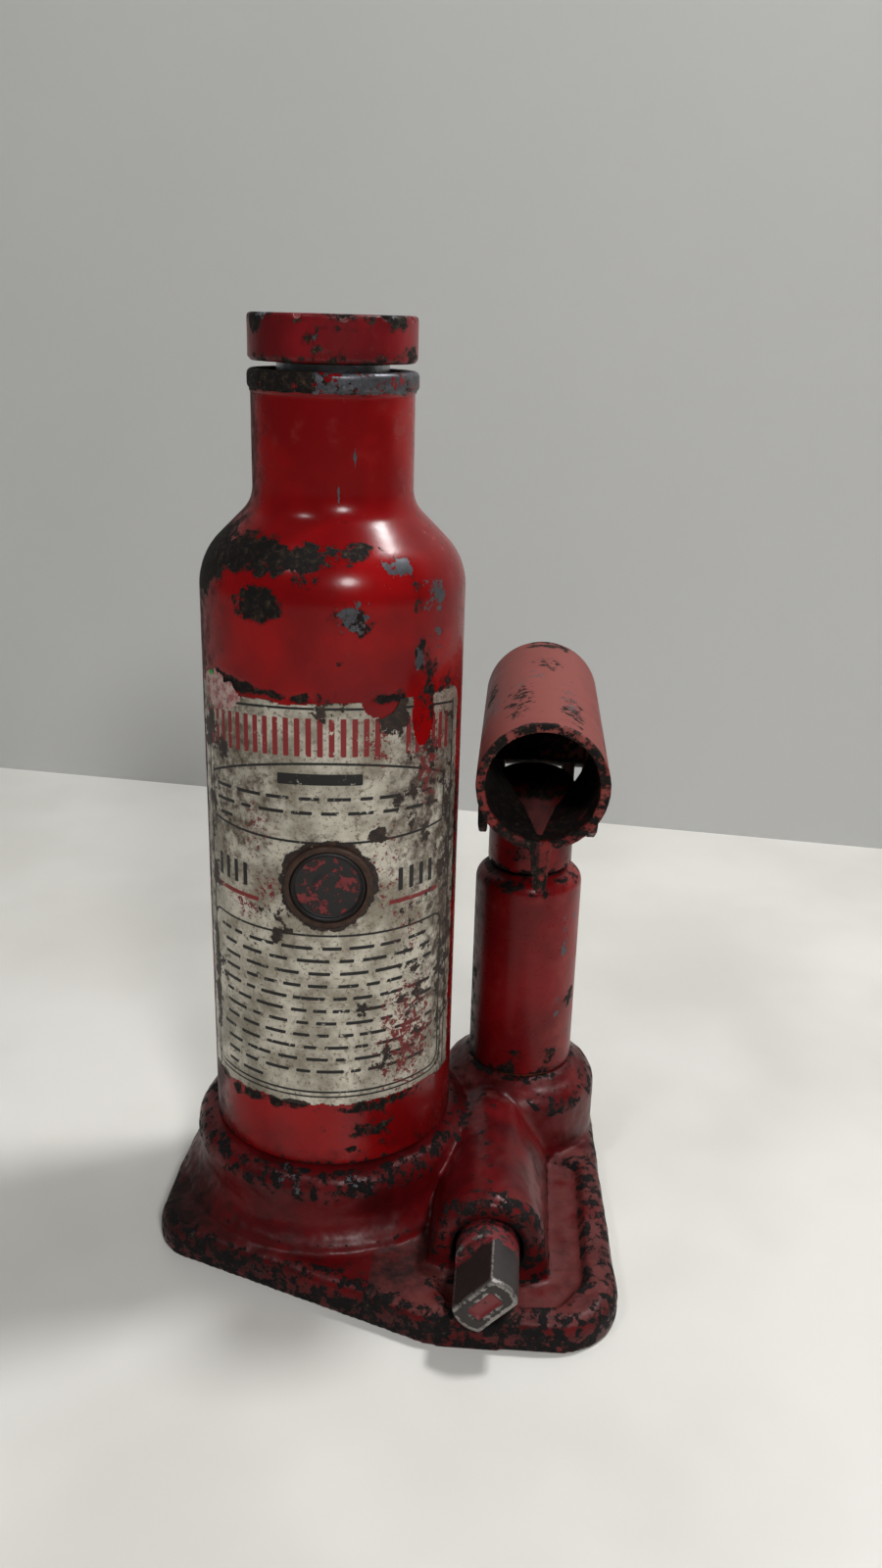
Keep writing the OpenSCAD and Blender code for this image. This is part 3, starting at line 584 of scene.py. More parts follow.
def wrapSheet(turns, heights, keep, rIn, rOut):
    # a bent sheet with thickness: keep says for each cell whether it is there
    n, k = len(turns), len(heights)
    a = np.radians(np.repeat(turns, k))
    z = np.tile(heights, n)
    shell = [np.stack([r * np.sin(a), -r * np.cos(a), z], axis=1) for r in (rOut, rIn)]
    points = np.concatenate(shell)
    inside = n * k
    faces = []
    full = np.zeros((n + 1, k + 1), bool)
    full[1:n, 1:k] = keep
    for i, j in zip(*np.nonzero(keep)):
        p, q, r, s = i * k + j, (i + 1) * k + j, (i + 1) * k + j + 1, i * k + j + 1
        faces += [(p, q, r, s), (inside + s, inside + r, inside + q, inside + p)]
        if not full[i + 1, j]:
            faces.append((q, p, inside + p, inside + q))
        if not full[i + 1, j + 2]:
            faces.append((s, r, inside + r, inside + s))
        if not full[i, j + 1]:
            faces.append((p, s, inside + s, inside + p))
        if not full[i + 2, j + 1]:
            faces.append((r, q, inside + q, inside + r))
    used = np.zeros(2 * inside, bool)
    used[np.array([v for f in faces for v in f])] = True
    order = np.cumsum(used) - 1
    return points[used], [tuple(int(order[v]) for v in f) for f in faces]


labelLow, labelHigh = boxOf("label_plate")
label = {"low": labelLow[2], "high": labelHigh[2], "half": 71.5, "middle": 6, "cell": 0.3, "proud": 0.19,
         "hole": 9.25}
arcMm = tank["r"] * math.pi / 180  # millimetres along the label for each degree

turns = np.arange(label["middle"] - label["half"], label["middle"] + label["half"], label["cell"] / arcMm)
heights = np.arange(label["low"], label["high"] + 0.01, label["cell"])
cellTurn, cellHeight = np.meshgrid((turns[:-1] + turns[1:]) / 2, (heights[:-1] + heights[1:]) / 2,
                                   indexing="ij")
flat = np.stack([cellTurn.ravel() * arcMm, cellHeight.ravel(), np.zeros(cellTurn.size)], axis=1)
tear = rough(flat, 7, 21).reshape(cellTurn.shape)
sideLeft = (cellTurn - turns[0]) * arcMm
sideRight = (turns[-1] - cellTurn) * arcMm
topGap, lowGap = label["high"] - cellHeight, cellHeight - label["low"]
rounded = np.hypot(np.minimum(sideRight - 5, 0), np.minimum(topGap - 5, 0)) < 5
edge = np.minimum(np.minimum(sideLeft, sideRight), np.minimum(topGap, lowGap))
fromFiller = np.hypot((cellTurn - tank["fillerTurn"]) * arcMm, cellHeight - tank["fillerZ"])
keep = (edge > (tear - 0.4) * 3.2) & (fromFiller > label["hole"]) & (rounded | (sideRight > 5) | (topGap > 5))
# a notch torn out of the top edge where the steel has rusted through the foil
notch = patch(cellTurn + tear * 8, cellHeight, (22, 40, 130.5, 138)) + patch(cellTurn, cellHeight + tear * 3,
                                                                             (42, 56, 124, 140))
keep &= notch < 0.6
points, faces = wrapSheet(turns, heights, keep, tank["r"] + 0.01, tank["r"] + label["proud"])
labelSheet = makePiece("tank_label", points, faces, "jack_body", ["label_plate"])
labelSheet.data.set_sharp_from_angle(angle=math.radians(40))


def rule(u, v, box, halfWidth, corner):  # distance inside the line of a rounded frame
    u0, u1, v0, v1 = box
    du = np.abs(u - (u0 + u1) / 2) - (u1 - u0) / 2 + corner
    dv = np.abs(v - (v0 + v1) / 2) - (v1 - v0) / 2 + corner
    outside = np.hypot(np.maximum(du, 0), np.maximum(dv, 0)) + np.minimum(np.maximum(du, dv), 0) - corner
    return halfWidth - np.abs(outside)


def solid(u, v, box):  # distance inside a plain bar
    u0, u1, v0, v1 = box
    return np.minimum(np.minimum(u - u0, u1 - u), np.minimum(v - v0, v1 - v))


def dashes(u, v, u0, u1, v0, thick, longest, seed):  # one row of printed dashes, as wide as words
    draw = np.random.default_rng(seed)
    best = np.full(len(u), -9.0)
    at = u0
    while at < u1 - 1.5:
        word = min(draw.uniform(2.2, longest), u1 - at)
        best = np.maximum(best, solid(u, v, (at, at + word, v0 - thick / 2, v0 + thick / 2)))
        at += word + draw.uniform(1.3, 2.1)
    return best


points = pointsOf(labelSheet.data)
turn, radius = wrapAround(points)
u, v = turn * arcMm, points[:, 2]
sag = 0.0016 * (u - 3) ** 2  # the arched rules drop towards both sides
black = 0.27 - np.abs(v - (133.2 - sag * 1.6))
black[np.abs(u - 3) > 31.5] = -9
black = np.maximum(black, np.minimum(0.27 - np.abs(np.abs(u - 3) - 31.5), np.minimum(v - 43, 131.4 - v)))
lens = {"top": 121.8 - sag * 4.6, "low": 104.6 + sag * 0.6}
inLens = np.abs(u - 2.2) < 29
black = np.maximum(black, np.where(inLens, 0.27 - np.abs(v - lens["top"]), -9))
black = np.maximum(black, np.where(inLens, 0.27 - np.abs(v - lens["low"]), -9))
black = np.maximum(black, np.minimum(0.27 - np.abs(np.abs(u - 2.2) - 29), np.minimum(v - 106, 116.6 - v)))
black = np.maximum(black, solid(u, v + sag * 1.5, (-7.5, 10, 117.2, 119.6)))
for row, (start, stop) in enumerate([(-25, 29), (-25, 29), (-25, -18)]):
    black = np.maximum(black, dashes(u, v + sag * 0.8, start, stop, 114.2 - row * 3.1, 0.75, 6.5, 40 + row))
black = np.maximum(black, rule(u, v, (-28.5, 31.5, 45.4, 83.6), 0.25, 3))
black = np.maximum(black, np.where(v < 58, rule(u, v, (-29.7, 32.7, 44.2, 90), 0.22, 4), -9))
for row in range(12):
    stop = {3: 22, 6: 18, 11: -12}.get(row, 29)
    black = np.maximum(black, dashes(u, v, -25 + (row % 4 != 0) * 1.6, stop, 80.6 - row * 3.0, 0.8, 7,
                                     60 + row))
for start, stop in ((-25.5, -14.5), (17.5, 28.5)):
    for bar in range(4):
        wide = (stop - start) / 4
        black = np.maximum(black, solid(u, v, (start + bar * wide + 0.6, start + (bar + 1) * wide - 1.0, 92.4,
                                               97.6)))
redInk = np.full(len(u), -9.0)
for start, stop in ((-26, -12.5), (16, 29.5)):
    redInk = np.maximum(redInk, solid(u, v, (start, stop, 89.6, 90.6)))
for bar in range(26):  # heading: a band of upright bars in two groups
    if bar in (18, 19):
        continue
    at = -27 + bar * 2.32
    redInk = np.maximum(redInk, solid(u, v + sag * 1.4, (at, at + 1.15, 123.2, 131.2)))
layer(labelSheet, "inkBlack", np.clip(black, -1, 1))
layer(labelSheet, "inkRed", np.clip(redInk, -1, 1))
left, right = turn - turns[0], turns[-1] - turn
edgeMm = np.minimum(np.minimum(left, right) * arcMm, np.minimum(label["high"] - v, v - label["low"]))
wear = {
    "rust": [(-70, -40, 100, 116, 0.44), (-64, -44, 54, 78, 0.46), (34, 62, 50, 100, 0.42),
             (-30, 0, 84, 90, 0.5),
             (24, 42, 127, 137, 0.9), (40, 60, 100, 131, 0.52), (-62, -54, 50, 84, 0.75),
             (-66, -50, 118, 131, 0.72),
             (-50, -40, 118, 126, 0.66), (-62, -48, 88, 97, 0.66), (-22, -10, 81, 86, 0.72),
             (18, 27, 62, 68, 0.66),
             (24, 42, 49, 56, 0.6), (30, 50, 104, 118, 0.42), (58, 78, 42, 134, 0.55),
             (-4, 16, 130, 136, 0.5),
             (-62, -50, 96, 114, 0.5), (24, 34, 104, 108, 0.75)],
    "spray": [(-36, -18, 100, 112, 0.42), (28, 60, 42, 72, 0.62), (34, 52, 78, 92, 0.42),
              (-28, -12, 88, 98, 0.45),
              (22, 40, 84, 108, 0.4), (-44, -24, 84, 92, 0.45), (44, 62, 110, 132, 0.6),
              (20, 34, 120, 132, 0.45),
              (-6, 8, 100, 106, 0.42), (-66, -52, 120, 134, 0.5)],
    # darker, duller foil: on the left and right sides painted shade and a painted dark reflection, low in the
    # middle a stain
    "stain": [(-72, -10, 90, 138, 0.66), (28, 72, 84, 138, 0.7), (36, 64, 94, 130, 0.75),
              (50, 80, 40, 134, 0.75), (-70, -52, 40, 134, 0.55), (8, 34, 44, 60, 0.4)],
}
ring = np.hypot((turn - tank["fillerTurn"]) * arcMm, v - tank["fillerZ"])
chip = np.maximum(patches(turn, v, wear["rust"]), ramp(-edgeMm, -1.6, 0.2) * 0.66)
chip = np.maximum(chip, ramp(-ring, -11.6, -9.4) * 0.85)
layer(labelSheet, "chip", chip)
layer(labelSheet, "spray", patches(turn, v, wear["spray"]))
# the ring round the filler is a stain; the boxes add painted shade and a painted dark reflection on the sides
layer(labelSheet, "stain", np.maximum(patches(turn, v, wear["stain"]), ramp(-ring, -15, -10) * 0.5))
labelSheet.data.materials.append(foilLabel())
print("label made", len(labelSheet.data.vertices))


def tornPaper():
    # torn paper sticker: matt off-white with pink dye soaked in and one green fleck
    m = newMaterial("Torn paper sticker")
    g = grains(m, {"dye": (2.2, 5, 0.65), "dirt": (1.2, 5, 0.7), "fibre": (0.8, 4, 0.7)})
    wear = wearAreas(m, {"dyed": (0.5, g["dye"], 1, 0.42, 0.62), "green": ("green", 0.5, 0, 0.4, 0.5),
                         "dirty": (0.5, g["dirt"], 1, 0.55, 0.7)})
    colour = coats(m, paint("#b39a92"), [(wear["dyed"], paint("#8d4f50")), (wear["green"], paint("#2f9a3c")),
                                         (wear["dirty"], paint("#3a2320"))])
    return dress(m, Base_Color=colour, Roughness=0.8, Normal=relief(m, 0.7, [(0.12, g["fibre"])]))


sticker = {"from": -62, "to": -33, "low": 127.5, "high": 139, "cell": 0.28}
turns = np.arange(sticker["from"], sticker["to"], sticker["cell"] / arcMm)
heights = np.arange(sticker["low"], sticker["high"], sticker["cell"])
ct, ch = np.meshgrid((turns[:-1] + turns[1:]) / 2, (heights[:-1] + heights[1:]) / 2, indexing="ij")
flat = np.stack([ct.ravel() * arcMm, ch.ravel(), np.zeros(ct.size)], axis=1)
torn = patch(ct, ch, (-60, -36, 129.5, 137.5)) + (rough(flat, 4, 33).reshape(ct.shape) - 0.5) * 1.3
points, faces = wrapSheet(turns, heights, torn > 0.52, tank["r"] + 0.02, tank["r"] + 0.22)
paperBit = makePiece("torn_sticker", points, faces, "jack_body")
turn, radius = wrapAround(pointsOf(paperBit.data))
layer(paperBit, "green", patch(turn, pointsOf(paperBit.data)[:, 2], (-56.5, -52.5, 136, 138.2)))
paperBit.data.materials.append(tornPaper())


# oil filler: a pressed ring with a rubber plug
plug = {"r": 7.9, "stem": 6.4, "out": tank["r"] + 1.0, "lip": 1.0}
ringR, ringOut = 9.2, tank["r"] + 1.2
ringOutline = [(plug["stem"] + 0.1, tank["r"] - 5), (ringR, tank["r"] - 5)]
ringOutline += arc(ringR - 0.5, ringOut - 0.5, 0.5, 0, 90, 4) + arc(plug["r"] + 0.4, ringOut - 0.3, 0.3, 90,
                                                                    180, 3)
ringOutline += [(plug["r"] + 0.1, tank["r"] - 0.6), (plug["stem"] + 0.1, tank["r"] - 0.6)]
fillerRing = revolve("filler_ring", fill(ringOutline, 0.35), 160, "jack_body",
                     ["filler_boss"], fillerAxis)
points = pointsOf(fillerRing.data)
noise = rough(points, 1.4, 5) - 0.5
local = (points - np.array(fillerAxis)[:3, 3]) @ np.array(fillerAxis)[:3, :3]
fromAxis = np.hypot(local[:, 0], local[:, 1])
outward = ramp(local[:, 2], tank["r"] - 0.2, tank["r"] + 0.4) * (fromAxis > plug["r"] + 0.3)
local[:, 2] -= outward * (0.1 + noise * 0.22)
movePoints(fillerRing.data, local @ np.array(fillerAxis)[:3, :3].T + np.array(fillerAxis)[:3, 3])
fillerRing.data.materials.append(rustySteel)

face = plug["out"]
plugOutline = [(0.002, tank["r"] - 6), (plug["stem"], tank["r"] - 6), (plug["stem"], tank["r"] - 0.5),
               (plug["r"], tank["r"] - 0.5)]
plugOutline += arc(plug["r"] - 0.6, face - 0.6, 0.6, 0, 90, 5) + arc(plug["r"] - plug["lip"] + 0.5,
                                                                     face - 0.5, 0.5, 90, 180, 3)
plugOutline += [(plug["r"] - plug["lip"], face - 0.7), (3.2, face - 0.75), (2.8, face - 0.5),
                (0.002, face - 0.45)]
fillerPlug = revolve("filler_plug_rubber", fill(plugOutline, 0.35), 140, "plug_body",
                     ["filler_plug"], fillerAxis)
local = (pointsOf(fillerPlug.data) - np.array(fillerAxis)[:3, 3]) @ np.array(fillerAxis)[:3, :3]
flaky = (local[:, 2] > tank["r"] - 0.2) * ramp(-np.hypot(local[:, 0], local[:, 1]), -plug["r"] + 0.5,
                                               -plug["r"] + 1.6)
layer(fillerPlug, "flakes", 0.42 * flaky)


def paintedRubber():
    # moulded rubber plug: matt black, with flakes of red paint left in its dish
    m = newMaterial("Moulded rubber plug with paint flakes")
    g = grains(m, {"flake": (2.4, 6, 0.68), "skin": (0.8, 4, 0.65)})
    left = wearAreas(m, {"paint": ("flakes", g["flake"], 2.6, 0.5, 0.55)})["paint"]
    flake = coats(m, paint("#4a1114"), [(g["skin"], paint("#8a2026"))])
    colour = coats(m, paint("#080707"), [(g["skin"], paint("#1a1514")), (left, flake)])
    bump = relief(m, 0.8, [(0.1, left), (0.08, g["skin"])])
    return dress(m, Base_Color=colour, Roughness=coats(m, 0.55, [(left, 0.4)], "FLOAT"), Normal=bump)


fillerPlug.data.materials.append(paintedRubber())
print("filler made")


# base: sand-cast iron with a chipped rim
base = {"grain": 0.6, "relax": 8, "pumpX": 45, "pumpY": 23.7, "valveX": 39.5, "valveZ": 14, "mouth": -37.5,
        "rust": [(-46, -20, 18, 30), (-14, 34, 17, 29), (70, 100, 15, 30), (190, 250, 15, 30)],
        "bare": [(-16, -4, 21, 27), (10, 28, 20, 27)]}
casting = recast("iron_base", "base_casting", "jack_body", base["grain"], base["relax"])
points = pointsOf(casting.data)
lump = rough(points, 6, 51, 3) - 0.5
normal = np.zeros(len(points) * 3, np.float32)
casting.data.vertices.foreach_get("normal", normal)
normal = normal.reshape(-1, 3)
low, high = boxOf("base_casting")
aboveFoot = ramp(points[:, 2], 0.3, 2)
fromRam = np.hypot(points[:, 0], points[:, 1])
fromPump = np.hypot(points[:, 0] - base["pumpX"], points[:, 1] - base["pumpY"])
seats = (fromRam < 29) & (points[:, 2] > 20) | (fromPump < 14) & (points[:, 2] > 15)
fromRod = np.hypot(points[:, 0] - base["valveX"], points[:, 2] - base["valveZ"])
seats |= (fromRod < 9) & (points[:, 1] < -8)
points += normal * (lump * 0.7 * aboveFoot * ~seats)[:, None]
movePoints(casting.data, np.clip(points, low, high))
lift = edgeLift(casting.data)
turn, radius = wrapAround(points)
z = points[:, 2]
rimEdge = ramp(-z, -7.2, -4.6)
onPlateSide = (np.abs(normal[:, 2]) < 0.75) & (z < 8.2)
chip = ramp(lift, 0.02, 0.09) * 0.5
chip = np.maximum(chip, np.where(onPlateSide, 0.46 + 0.12 * rimEdge, 0))
shoulder = patch(fromRam, z, (29.5, 35.5, 20, 28))
chip = np.maximum(chip, shoulder * (0.17 + 0.36 * patches(turn, z, base["rust"])))
mouthRim = patch(fromRod, points[:, 1], (8, 13.5, base["mouth"] - 2.5, base["mouth"] + 3.4))
chip = np.maximum(chip, mouthRim * 0.24)
chip = np.maximum(chip, patch(fromPump, z, (14, 19.5, 21, 28)) * 0.2)
nearHole = (fromRod < 8.4) & (points[:, 1] < -28)
tray = (z < 8.4) & (points[:, 1] < 10) & (points[:, 0] > 14) & (normal[:, 2] > 0.5)
layer(casting, "chip", chip)
layer(casting, "bare", 0.3 * (patches(turn, z, base["bare"]) > 0.5))
layer(casting, "fade", np.where(tray, 0.75, 0.2) + 0.25 * (fromPump < 21))
# painted shade round the foot of the bottle's collar, on the base's left side, inside the valve's tunnel and
# on faces that look down; dust in the tray
dark = 0.45 * patch(fromRam, z, (33, 50, 4, 17)) + 0.4 * patch(turn, z, (-90, -35, 0, 26)) + 0.3 * tray
layer(casting, "grime", dark + 0.8 * nearHole + 0.6 * (normal[:, 2] < -0.7))
casting.data.materials.append(castPaint)
print("base made", len(points))


# pump: a turned cylinder, and the piston's head
pump = {
    "rust": [(-70, 60, 26.5, 31, 0.55), (-20, 10, 29.5, 35, 0.6), (20, 50, 30, 36, 0.55),
             (52, 80, 44, 50, 0.6),
             (-90, -60, 30, 60, 0.5), (120, 160, 50, 70, 0.55), (-150, -120, 30, 42, 0.6)],
    "bare": [(42, 54, 58, 72, 0.5), (34, 50, 44, 50, 0.5), (58, 66, 66, 76, 0.45)],
}
pumpAt = (base["pumpX"], base["pumpY"], 0)
pumpTube = recast("pump_tube", "pump_cylinder", "jack_body", 0.42, 3,
                  [(pumpAt, (0, 0, 1), 13, (29.5, 76)), (pumpAt, (0, 0, 1), 6.05, (18, 80))])
points = pointsOf(pumpTube.data)
off = points - np.array(pumpAt)
turn, radius = wrapAround(off)
z = points[:, 2]
topEdge = patch(radius, z, (9.5, 13.4, 76.6, 81.2))
layer(pumpTube, "chip", np.maximum(patches(turn, z, pump["rust"]), topEdge * 0.5))
layer(pumpTube, "bare", patches(turn, z, pump["bare"]))
# paler on the side away from the tank: painted sheen where the light falls, over an even fade
layer(pumpTube, "fade", 0.25 + 0.3 * ramp(turn, 20, 60))
# painted shade on the side towards the tank, inside the top of the bore and at the foot
layer(pumpTube, "grime", 0.55 * ramp(-turn, 30, 75) + 0.4 * (radius < 11) * (z > 70) + 0.35 * ramp(-z, -33,
                                                                                                   -28))
pumpTube.data.materials.append(pumpPaint)

pumpHead = recast("pump_head", "pump_piston", "pump_plunger", 0.4, 3,
                  [(pumpAt, (0, 0, 1), 10.2, (83, 99.5)), (pumpAt, (0, 0, 1), 6, (39.5, 81))])
points = pointsOf(pumpHead.data)
off = points - np.array(pumpAt)
turn, radius = wrapAround(off)
z = points[:, 2]
lift = edgeLift(pumpHead.data)
isHead = ramp(z, 81.2, 81.9)
layer(pumpHead, "chip", np.maximum(ramp(lift, 0.02, 0.08) * 0.62, patch(turn, z,
                                                                        (-40, 20, 84, 96)) * 0.4) * isHead)
layer(pumpHead, "bare", 1.6 * (1 - isHead))
layer(pumpHead, "fade", np.full(len(z), 0.2))
# an even film of oil and dust on the head, with painted shade deepening towards its top, under the socket
layer(pumpHead, "grime", (0.35 + 0.35 * ramp(z, 96, 104)) * isHead)
pumpHead.data.materials.append(pumpPaint)


# saddle: a turned disc with chipped corners
saddle = {
    "rust": [(-66, -44, 5.5, 11, 0.9), (-52, -38, -1, 2, 0.6), (-12, 4, 2, 7, 0.5), (6, 30, 6.8, 11, 0.6),
             (44, 66, 6, 11, 0.85), (60, 90, 0, 4, 0.6), (-8, 34, 5.6, 7.2, 0.5), (28, 60, -1, 2.2, 0.55),
             (120, 150, 3, 11, 0.6), (-140, -110, 4, 11, 0.6)],
    "bare": [(-56, -40, 7, 10, 0.45), (48, 58, 7.6, 10, 0.4), (-6, 0, 1.5, 6, 0.42)],
}
saddleLow, saddleHigh = boxOf("saddle")
saddleDisc = recast("saddle_disc", "saddle", "saddle_body", 0.32, 3,
                    [((0, 0, 0), (0, 0, 1), 17, (saddleLow[2] + 1.2, saddleHigh[2] - 1.3))])
points = pointsOf(saddleDisc.data)
turn, radius = wrapAround(points)
z = points[:, 2] - saddleLow[2]
lift = edgeLift(saddleDisc.data)
topRim = patch(radius, z, (15.4, 18.6, 7.2, 10.6))
lowRim = patch(radius, z, (15.8, 18.4, -1.6, 1.9))
layer(saddleDisc, "chip", np.maximum(patches(turn, z, saddle["rust"]), np.maximum(topRim * 0.5,
                                                                                  lowRim * 0.5)))
layer(saddleDisc, "bare", np.where((z > 8.6) & (radius < 16), 0.42, 0) + patches(turn, z, saddle["bare"]))
layer(saddleDisc, "fade", np.full(len(z), 0.25))
# dirt on the top face; painted shade under the saddle and on its left side
layer(saddleDisc, "grime", 0.3 * (z > 8.5) + 0.45 * (z < 0.3) + 0.3 * ramp(-turn, 40, 80))
saddleDisc.data.materials.append(saddlePaint)
print("pump and saddle made")


# handle socket: rolled sheet with cheeks
socket = {"x": 46, "z": 118.7, "r": 13.5, "front": -27.6, "back": 41.2,
          "seam": [(43.4, 33.9, 104), (47, 35.1, 131.2)],
          "rust": [(-40, -10, -20, 6, 0.5), (10, 40, -24, -6, 0.48), (-70, -50, 4, 20, 0.55),
                   (-10, 20, 14, 26, 0.5),
                   (60, 100, -20, 0, 0.5), (-20, 30, 34, 42, 0.62)],
          "bare": [(-30, 0, 0, 14, 0.4), (-60, -40, -14, 4, 0.44), (10, 34, -22, 10, 0.36)]}
socketAxis = ((socket["x"], 0, socket["z"]), (0, 1, 0))
socketTube = recast("socket_tube", "handle_socket", "socket_body", 0.36, 3,
                    [(*socketAxis, socket["r"], (socket["front"] + 0.6,
                                                 socket["back"] - 0.6))], socket["seam"])
points = pointsOf(socketTube.data)
lift = edgeLift(socketTube.data)
off = points - np.array(socketAxis[0])
around = np.degrees(np.arctan2(off[:, 0], off[:, 2]))  # from the top, towards +X
away = np.hypot(off[:, 0], off[:, 2])
y, z = points[:, 1], points[:, 2]
normal = np.zeros(len(points) * 3, np.float32)
socketTube.data.vertices.foreach_get("normal", normal)
normal = normal.reshape(-1, 3)
bend = rough(points, 8, 71, 3) - 0.5
dented = ramp(-y, 22, 27.5) * (bend * 0.5)
points += normal * (dented * (away > 11))[:, None]
boxLow, boxHigh = boxOf("handle_socket")
movePoints(socketTube.data, np.clip(points, boxLow, boxHigh))
inside = ramp(-away, -12.6, -12.0) * (y > socket["front"] + 0.9)
cheek = (z < socket["z"] - 9)
mouthEdge = ramp(-y, -socket["front"] - 1.3, -socket["front"] - 0.3)
chip = np.maximum(ramp(lift, 0.02, 0.07) * 0.6, mouthEdge * 0.5)
chip = np.maximum(chip, patches(around, y, socket["rust"]) * (1 - inside))
chip = np.maximum(chip, np.where(cheek, 0.5, 0))
chip = np.maximum(chip, inside * 0.62)
layer(socketTube, "chip", chip)
layer(socketTube, "bare", np.where(away > 12.6, patches(around, y, socket["bare"]), 0))
layer(socketTube, "fade", 0.55 + 0.35 * ramp(off[:, 2], 4, 13) - 0.5 * cheek)
# painted shade inside the tube, on the cheeks under it and on its side towards the tank
layer(socketTube, "grime", np.maximum(0.85 * inside, 0.3 * cheek) + 0.4 * ramp(-around, 50, 100))
socketTube.data.materials.append(socketPaint)


# links, and the release valve's rod
linkPair = recast("link_pair", "fulcrum_links", "link_body", 0.4, 2)
linkPair.data.materials.append(rustySteel)

rodAxis = ((base["valveX"], 0, base["valveZ"]), (0, 1, 0))
valveRod = recast("valve_rod", "release_valve", "valve_body", 0.32, 3,
                  [(*rodAxis, 7, (-54, -33)), (*rodAxis, 5.95, (-28, -13.5))])
points = pointsOf(valveRod.data)
lift = edgeLift(valveRod.data)
y = points[:, 1]
rodEnd = boxOf("release_valve")[0][1]
offX, offZ = points[:, 0] - base["valveX"], points[:, 2] - base["valveZ"]
spin = math.radians(46)
alongFlat = offX * math.cos(spin) + offZ * math.sin(spin)
acrossFlat = -offX * math.sin(spin) + offZ * math.cos(spin)
inSlot = (np.abs(alongFlat) < 3.5) & (np.abs(acrossFlat) < 1.8) & (y < rodEnd + 0.9)
layer(valveRod, "red", np.where(inSlot, 0.8, 0) + np.where(y > -43, 0.55, 0))
layer(valveRod, "edge", 0.6 * ramp(lift, 0.02, 0.07))


def wornRod():
    # turned steel rod: black with oil and rust, silver where hands and tools rub its corners,
    # and red paint left in hollows
    m = newMaterial("Turned steel rod, worn black")
    g = grains(m, {"stain": (2.2, 6, 0.7), "rub": (1.5, 6, 0.7), "paint": (2.6, 6, 0.68),
                   "pit": (1.0, 5, 0.72)})
    wear = wearAreas(m, {"rubbed": ("edge", g["rub"], 1.8, 0.45, 0.62), "painted": ("red", g["paint"], 2.2,
                                                                                    0.5, 0.56)})
    colour = coats(m, paint("#0c0908"), [(g["stain"], paint("#2c2120")), (wear["rubbed"], paint("#8c8783")),
                                         (wear["painted"], paint("#6e2024"))])
    gloss = coats(m, 0.5, [(wear["rubbed"], 0.34), (wear["painted"], 0.42)], "FLOAT")
    shine = coats(m, wear["rubbed"], [(wear["painted"], 0.0)], "FLOAT")
    bump = relief(m, 0.8, [(0.08, wear["painted"]), (0.16, g["pit"])])
    return dress(m, Base_Color=colour, Metallic=shine, Roughness=gloss, Normal=bump)


valveRod.data.materials.append(wornRod())
print("socket, links and rod made")


def paleFloor(name, light, dark, roughness):
    # satin laminate: nearly white, with the faintest mottling
    m = newMaterial(name)
    g = grains(m, {"cloud": (90, 3, 0.5), "skin": (1.5, 2, 0.5)})
    wear = wearAreas(m, {"clouded": (0.5, g["cloud"], 1, 0.35, 0.65)})
    colour = coats(m, paint(dark), [(wear["clouded"], paint(light))])
    return dress(m, Base_Color=colour, Roughness=roughness, Normal=relief(m, 0.2, [(0.02, g["skin"])]))


def stagePanel(name, corners, material):
    mesh = bpy.data.meshes.new(name)
    mesh.from_pydata(corners, [], [tuple(range(len(corners)))])
    obj = bpy.data.objects.new(name, mesh)
    scene.collection.objects.link(obj)
    mesh.materials.append(material)
    return obj


laminate = paleFloor("White laminate table", "#e2e0da", "#d6d4cd", 0.35)
stagePanel("floor", [(-4, -4, 0), (4, -4, 0), (4, 4, 0), (-4, 4, 0)], laminate)

wall = {"middle": (0.0, 0.268), "turn": -6.6, "half": 2.5, "high": 1.6}


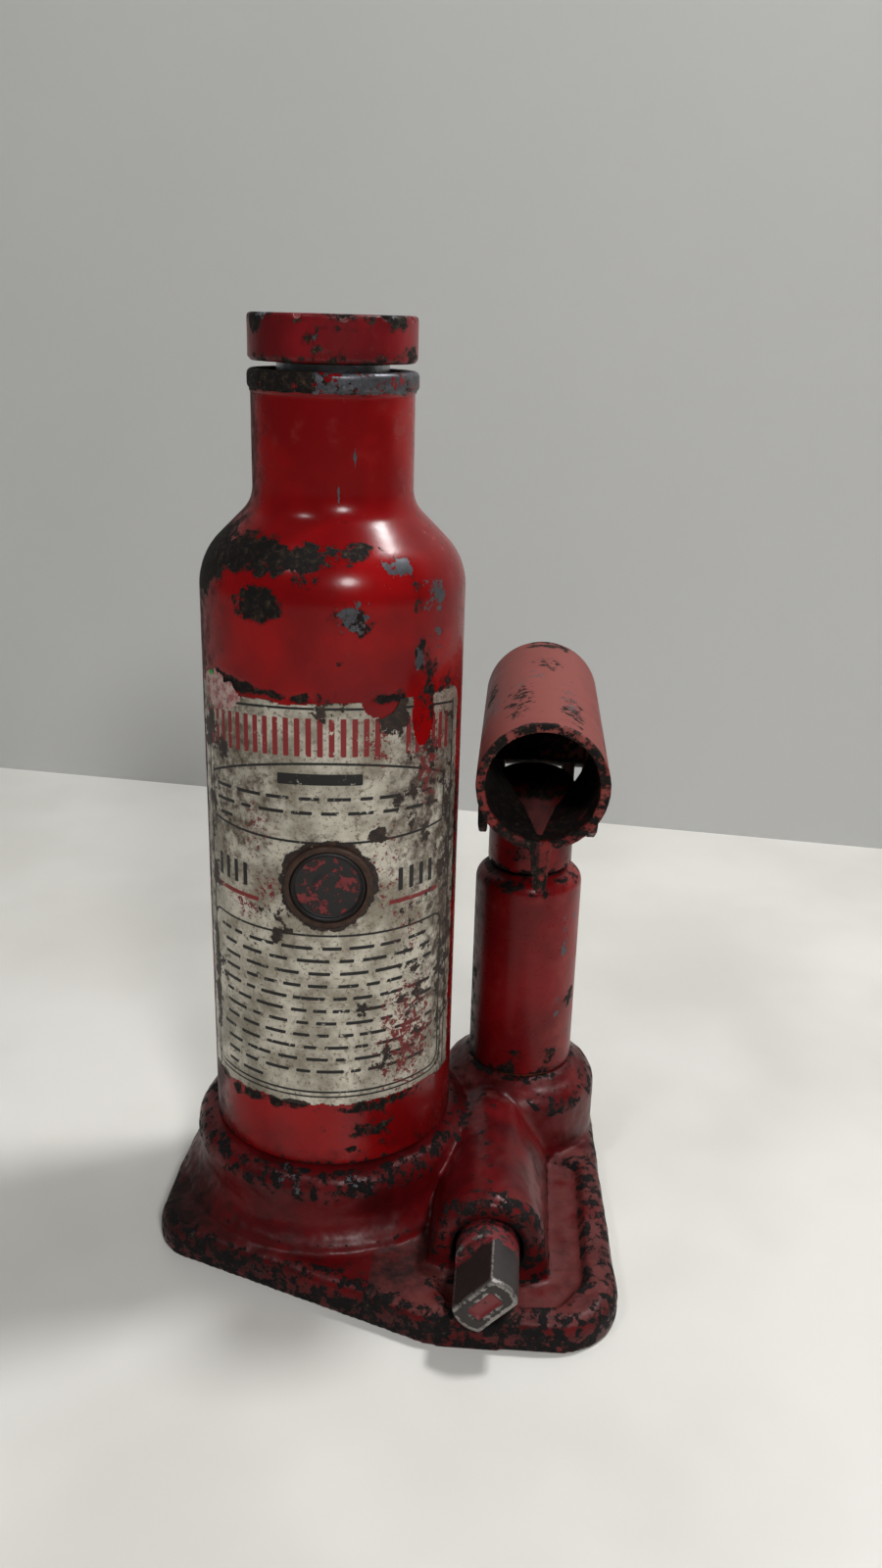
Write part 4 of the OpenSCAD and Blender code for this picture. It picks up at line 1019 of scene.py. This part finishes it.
def wallPaint():
    # matt wall that shows from the front only, so that a view from behind isn't blocked
    m = newMaterial("Matt grey wall")
    g = grains(m, {"cloud": (120, 3, 0.5)})
    colour = coats(m, paint("#c2c2c0"), [(g["cloud"], paint("#cacac8"))])
    surface = addNode(m, "BsdfPrincipled", {}, {"Base Color": colour, "Roughness": 0.7})
    clear = addNode(m, "BsdfTransparent")
    behind = addNode(m, "NewGeometry", out=6)
    mixed = addNode(m, "MixShader", {}, {0: behind, 1: surface, 2: clear})
    addNode(m, "OutputMaterial", {}, {"Surface": mixed})
    return m


way = Vector((math.cos(math.radians(wall["turn"])), math.sin(math.radians(wall["turn"])), 0))
foot = Vector((*wall["middle"], 0))
up = Vector((0, 0, wall["high"]))
left, right = foot - way * wall["half"], foot + way * wall["half"]
stagePanel("wall", [left, right, right + up, left + up], wallPaint())


def softLight(name, at, target, size, power, tint="#ffffff"):
    data = bpy.data.lights.new(name, "AREA")
    data.shape, data.size, data.energy, data.color = "DISK", size, power, paint(tint)[:3]
    obj = bpy.data.objects.new(name, data)
    scene.collection.objects.link(obj)
    obj.location = at
    obj.rotation_euler = (Vector(target) - Vector(at)).to_track_quat("-Z", "Y").to_euler()
    return obj


lights = {
    "rear": ((0.38, 0.17, 0.88), (0, 0, 0.08), 0.14, 5.2),
    "key": ((0.35, -0.85, 0.75), (0.0, 0, 0.1), 0.2, 5.6),
    "wall": ((-0.5, -0.55, 1.1), (0.1, 0.3, 0.2), 0.16, 2.2),
}
for name, (at, target, size, power) in lights.items():
    softLight(name, at, target, size, power)

world = bpy.data.worlds.new("soft room")
world.use_nodes = True
world.node_tree.nodes["Background"].inputs["Color"].default_value = paint("#e8ecf0")
world.node_tree.nodes["Background"].inputs["Strength"].default_value = 0.1
scene.world = world

cameraData = bpy.data.cameras.new("camera")
cameraData.lens, cameraData.sensor_width, cameraData.sensor_fit = 29.385, 36, "AUTO"
camera = bpy.data.objects.new("camera", cameraData)
scene.collection.objects.link(camera)
aim = {"at": (0.03997, -0.26745, 0.2058), "turn": 3.41, "tilt": 70.06, "roll": 1.64}  # metres, degrees
camera.matrix_world = Matrix.Translation(aim["at"])
for amount, axis in (("turn", "Z"), ("tilt", "X"), ("roll", "Z")):
    camera.matrix_world = camera.matrix_world @ Matrix.Rotation(math.radians(aim[amount]), 4, axis)
cameraData.clip_start, cameraData.clip_end = 0.01, 20
scene.camera = camera
scene.view_settings.view_transform = "Standard"

print("scene ready")
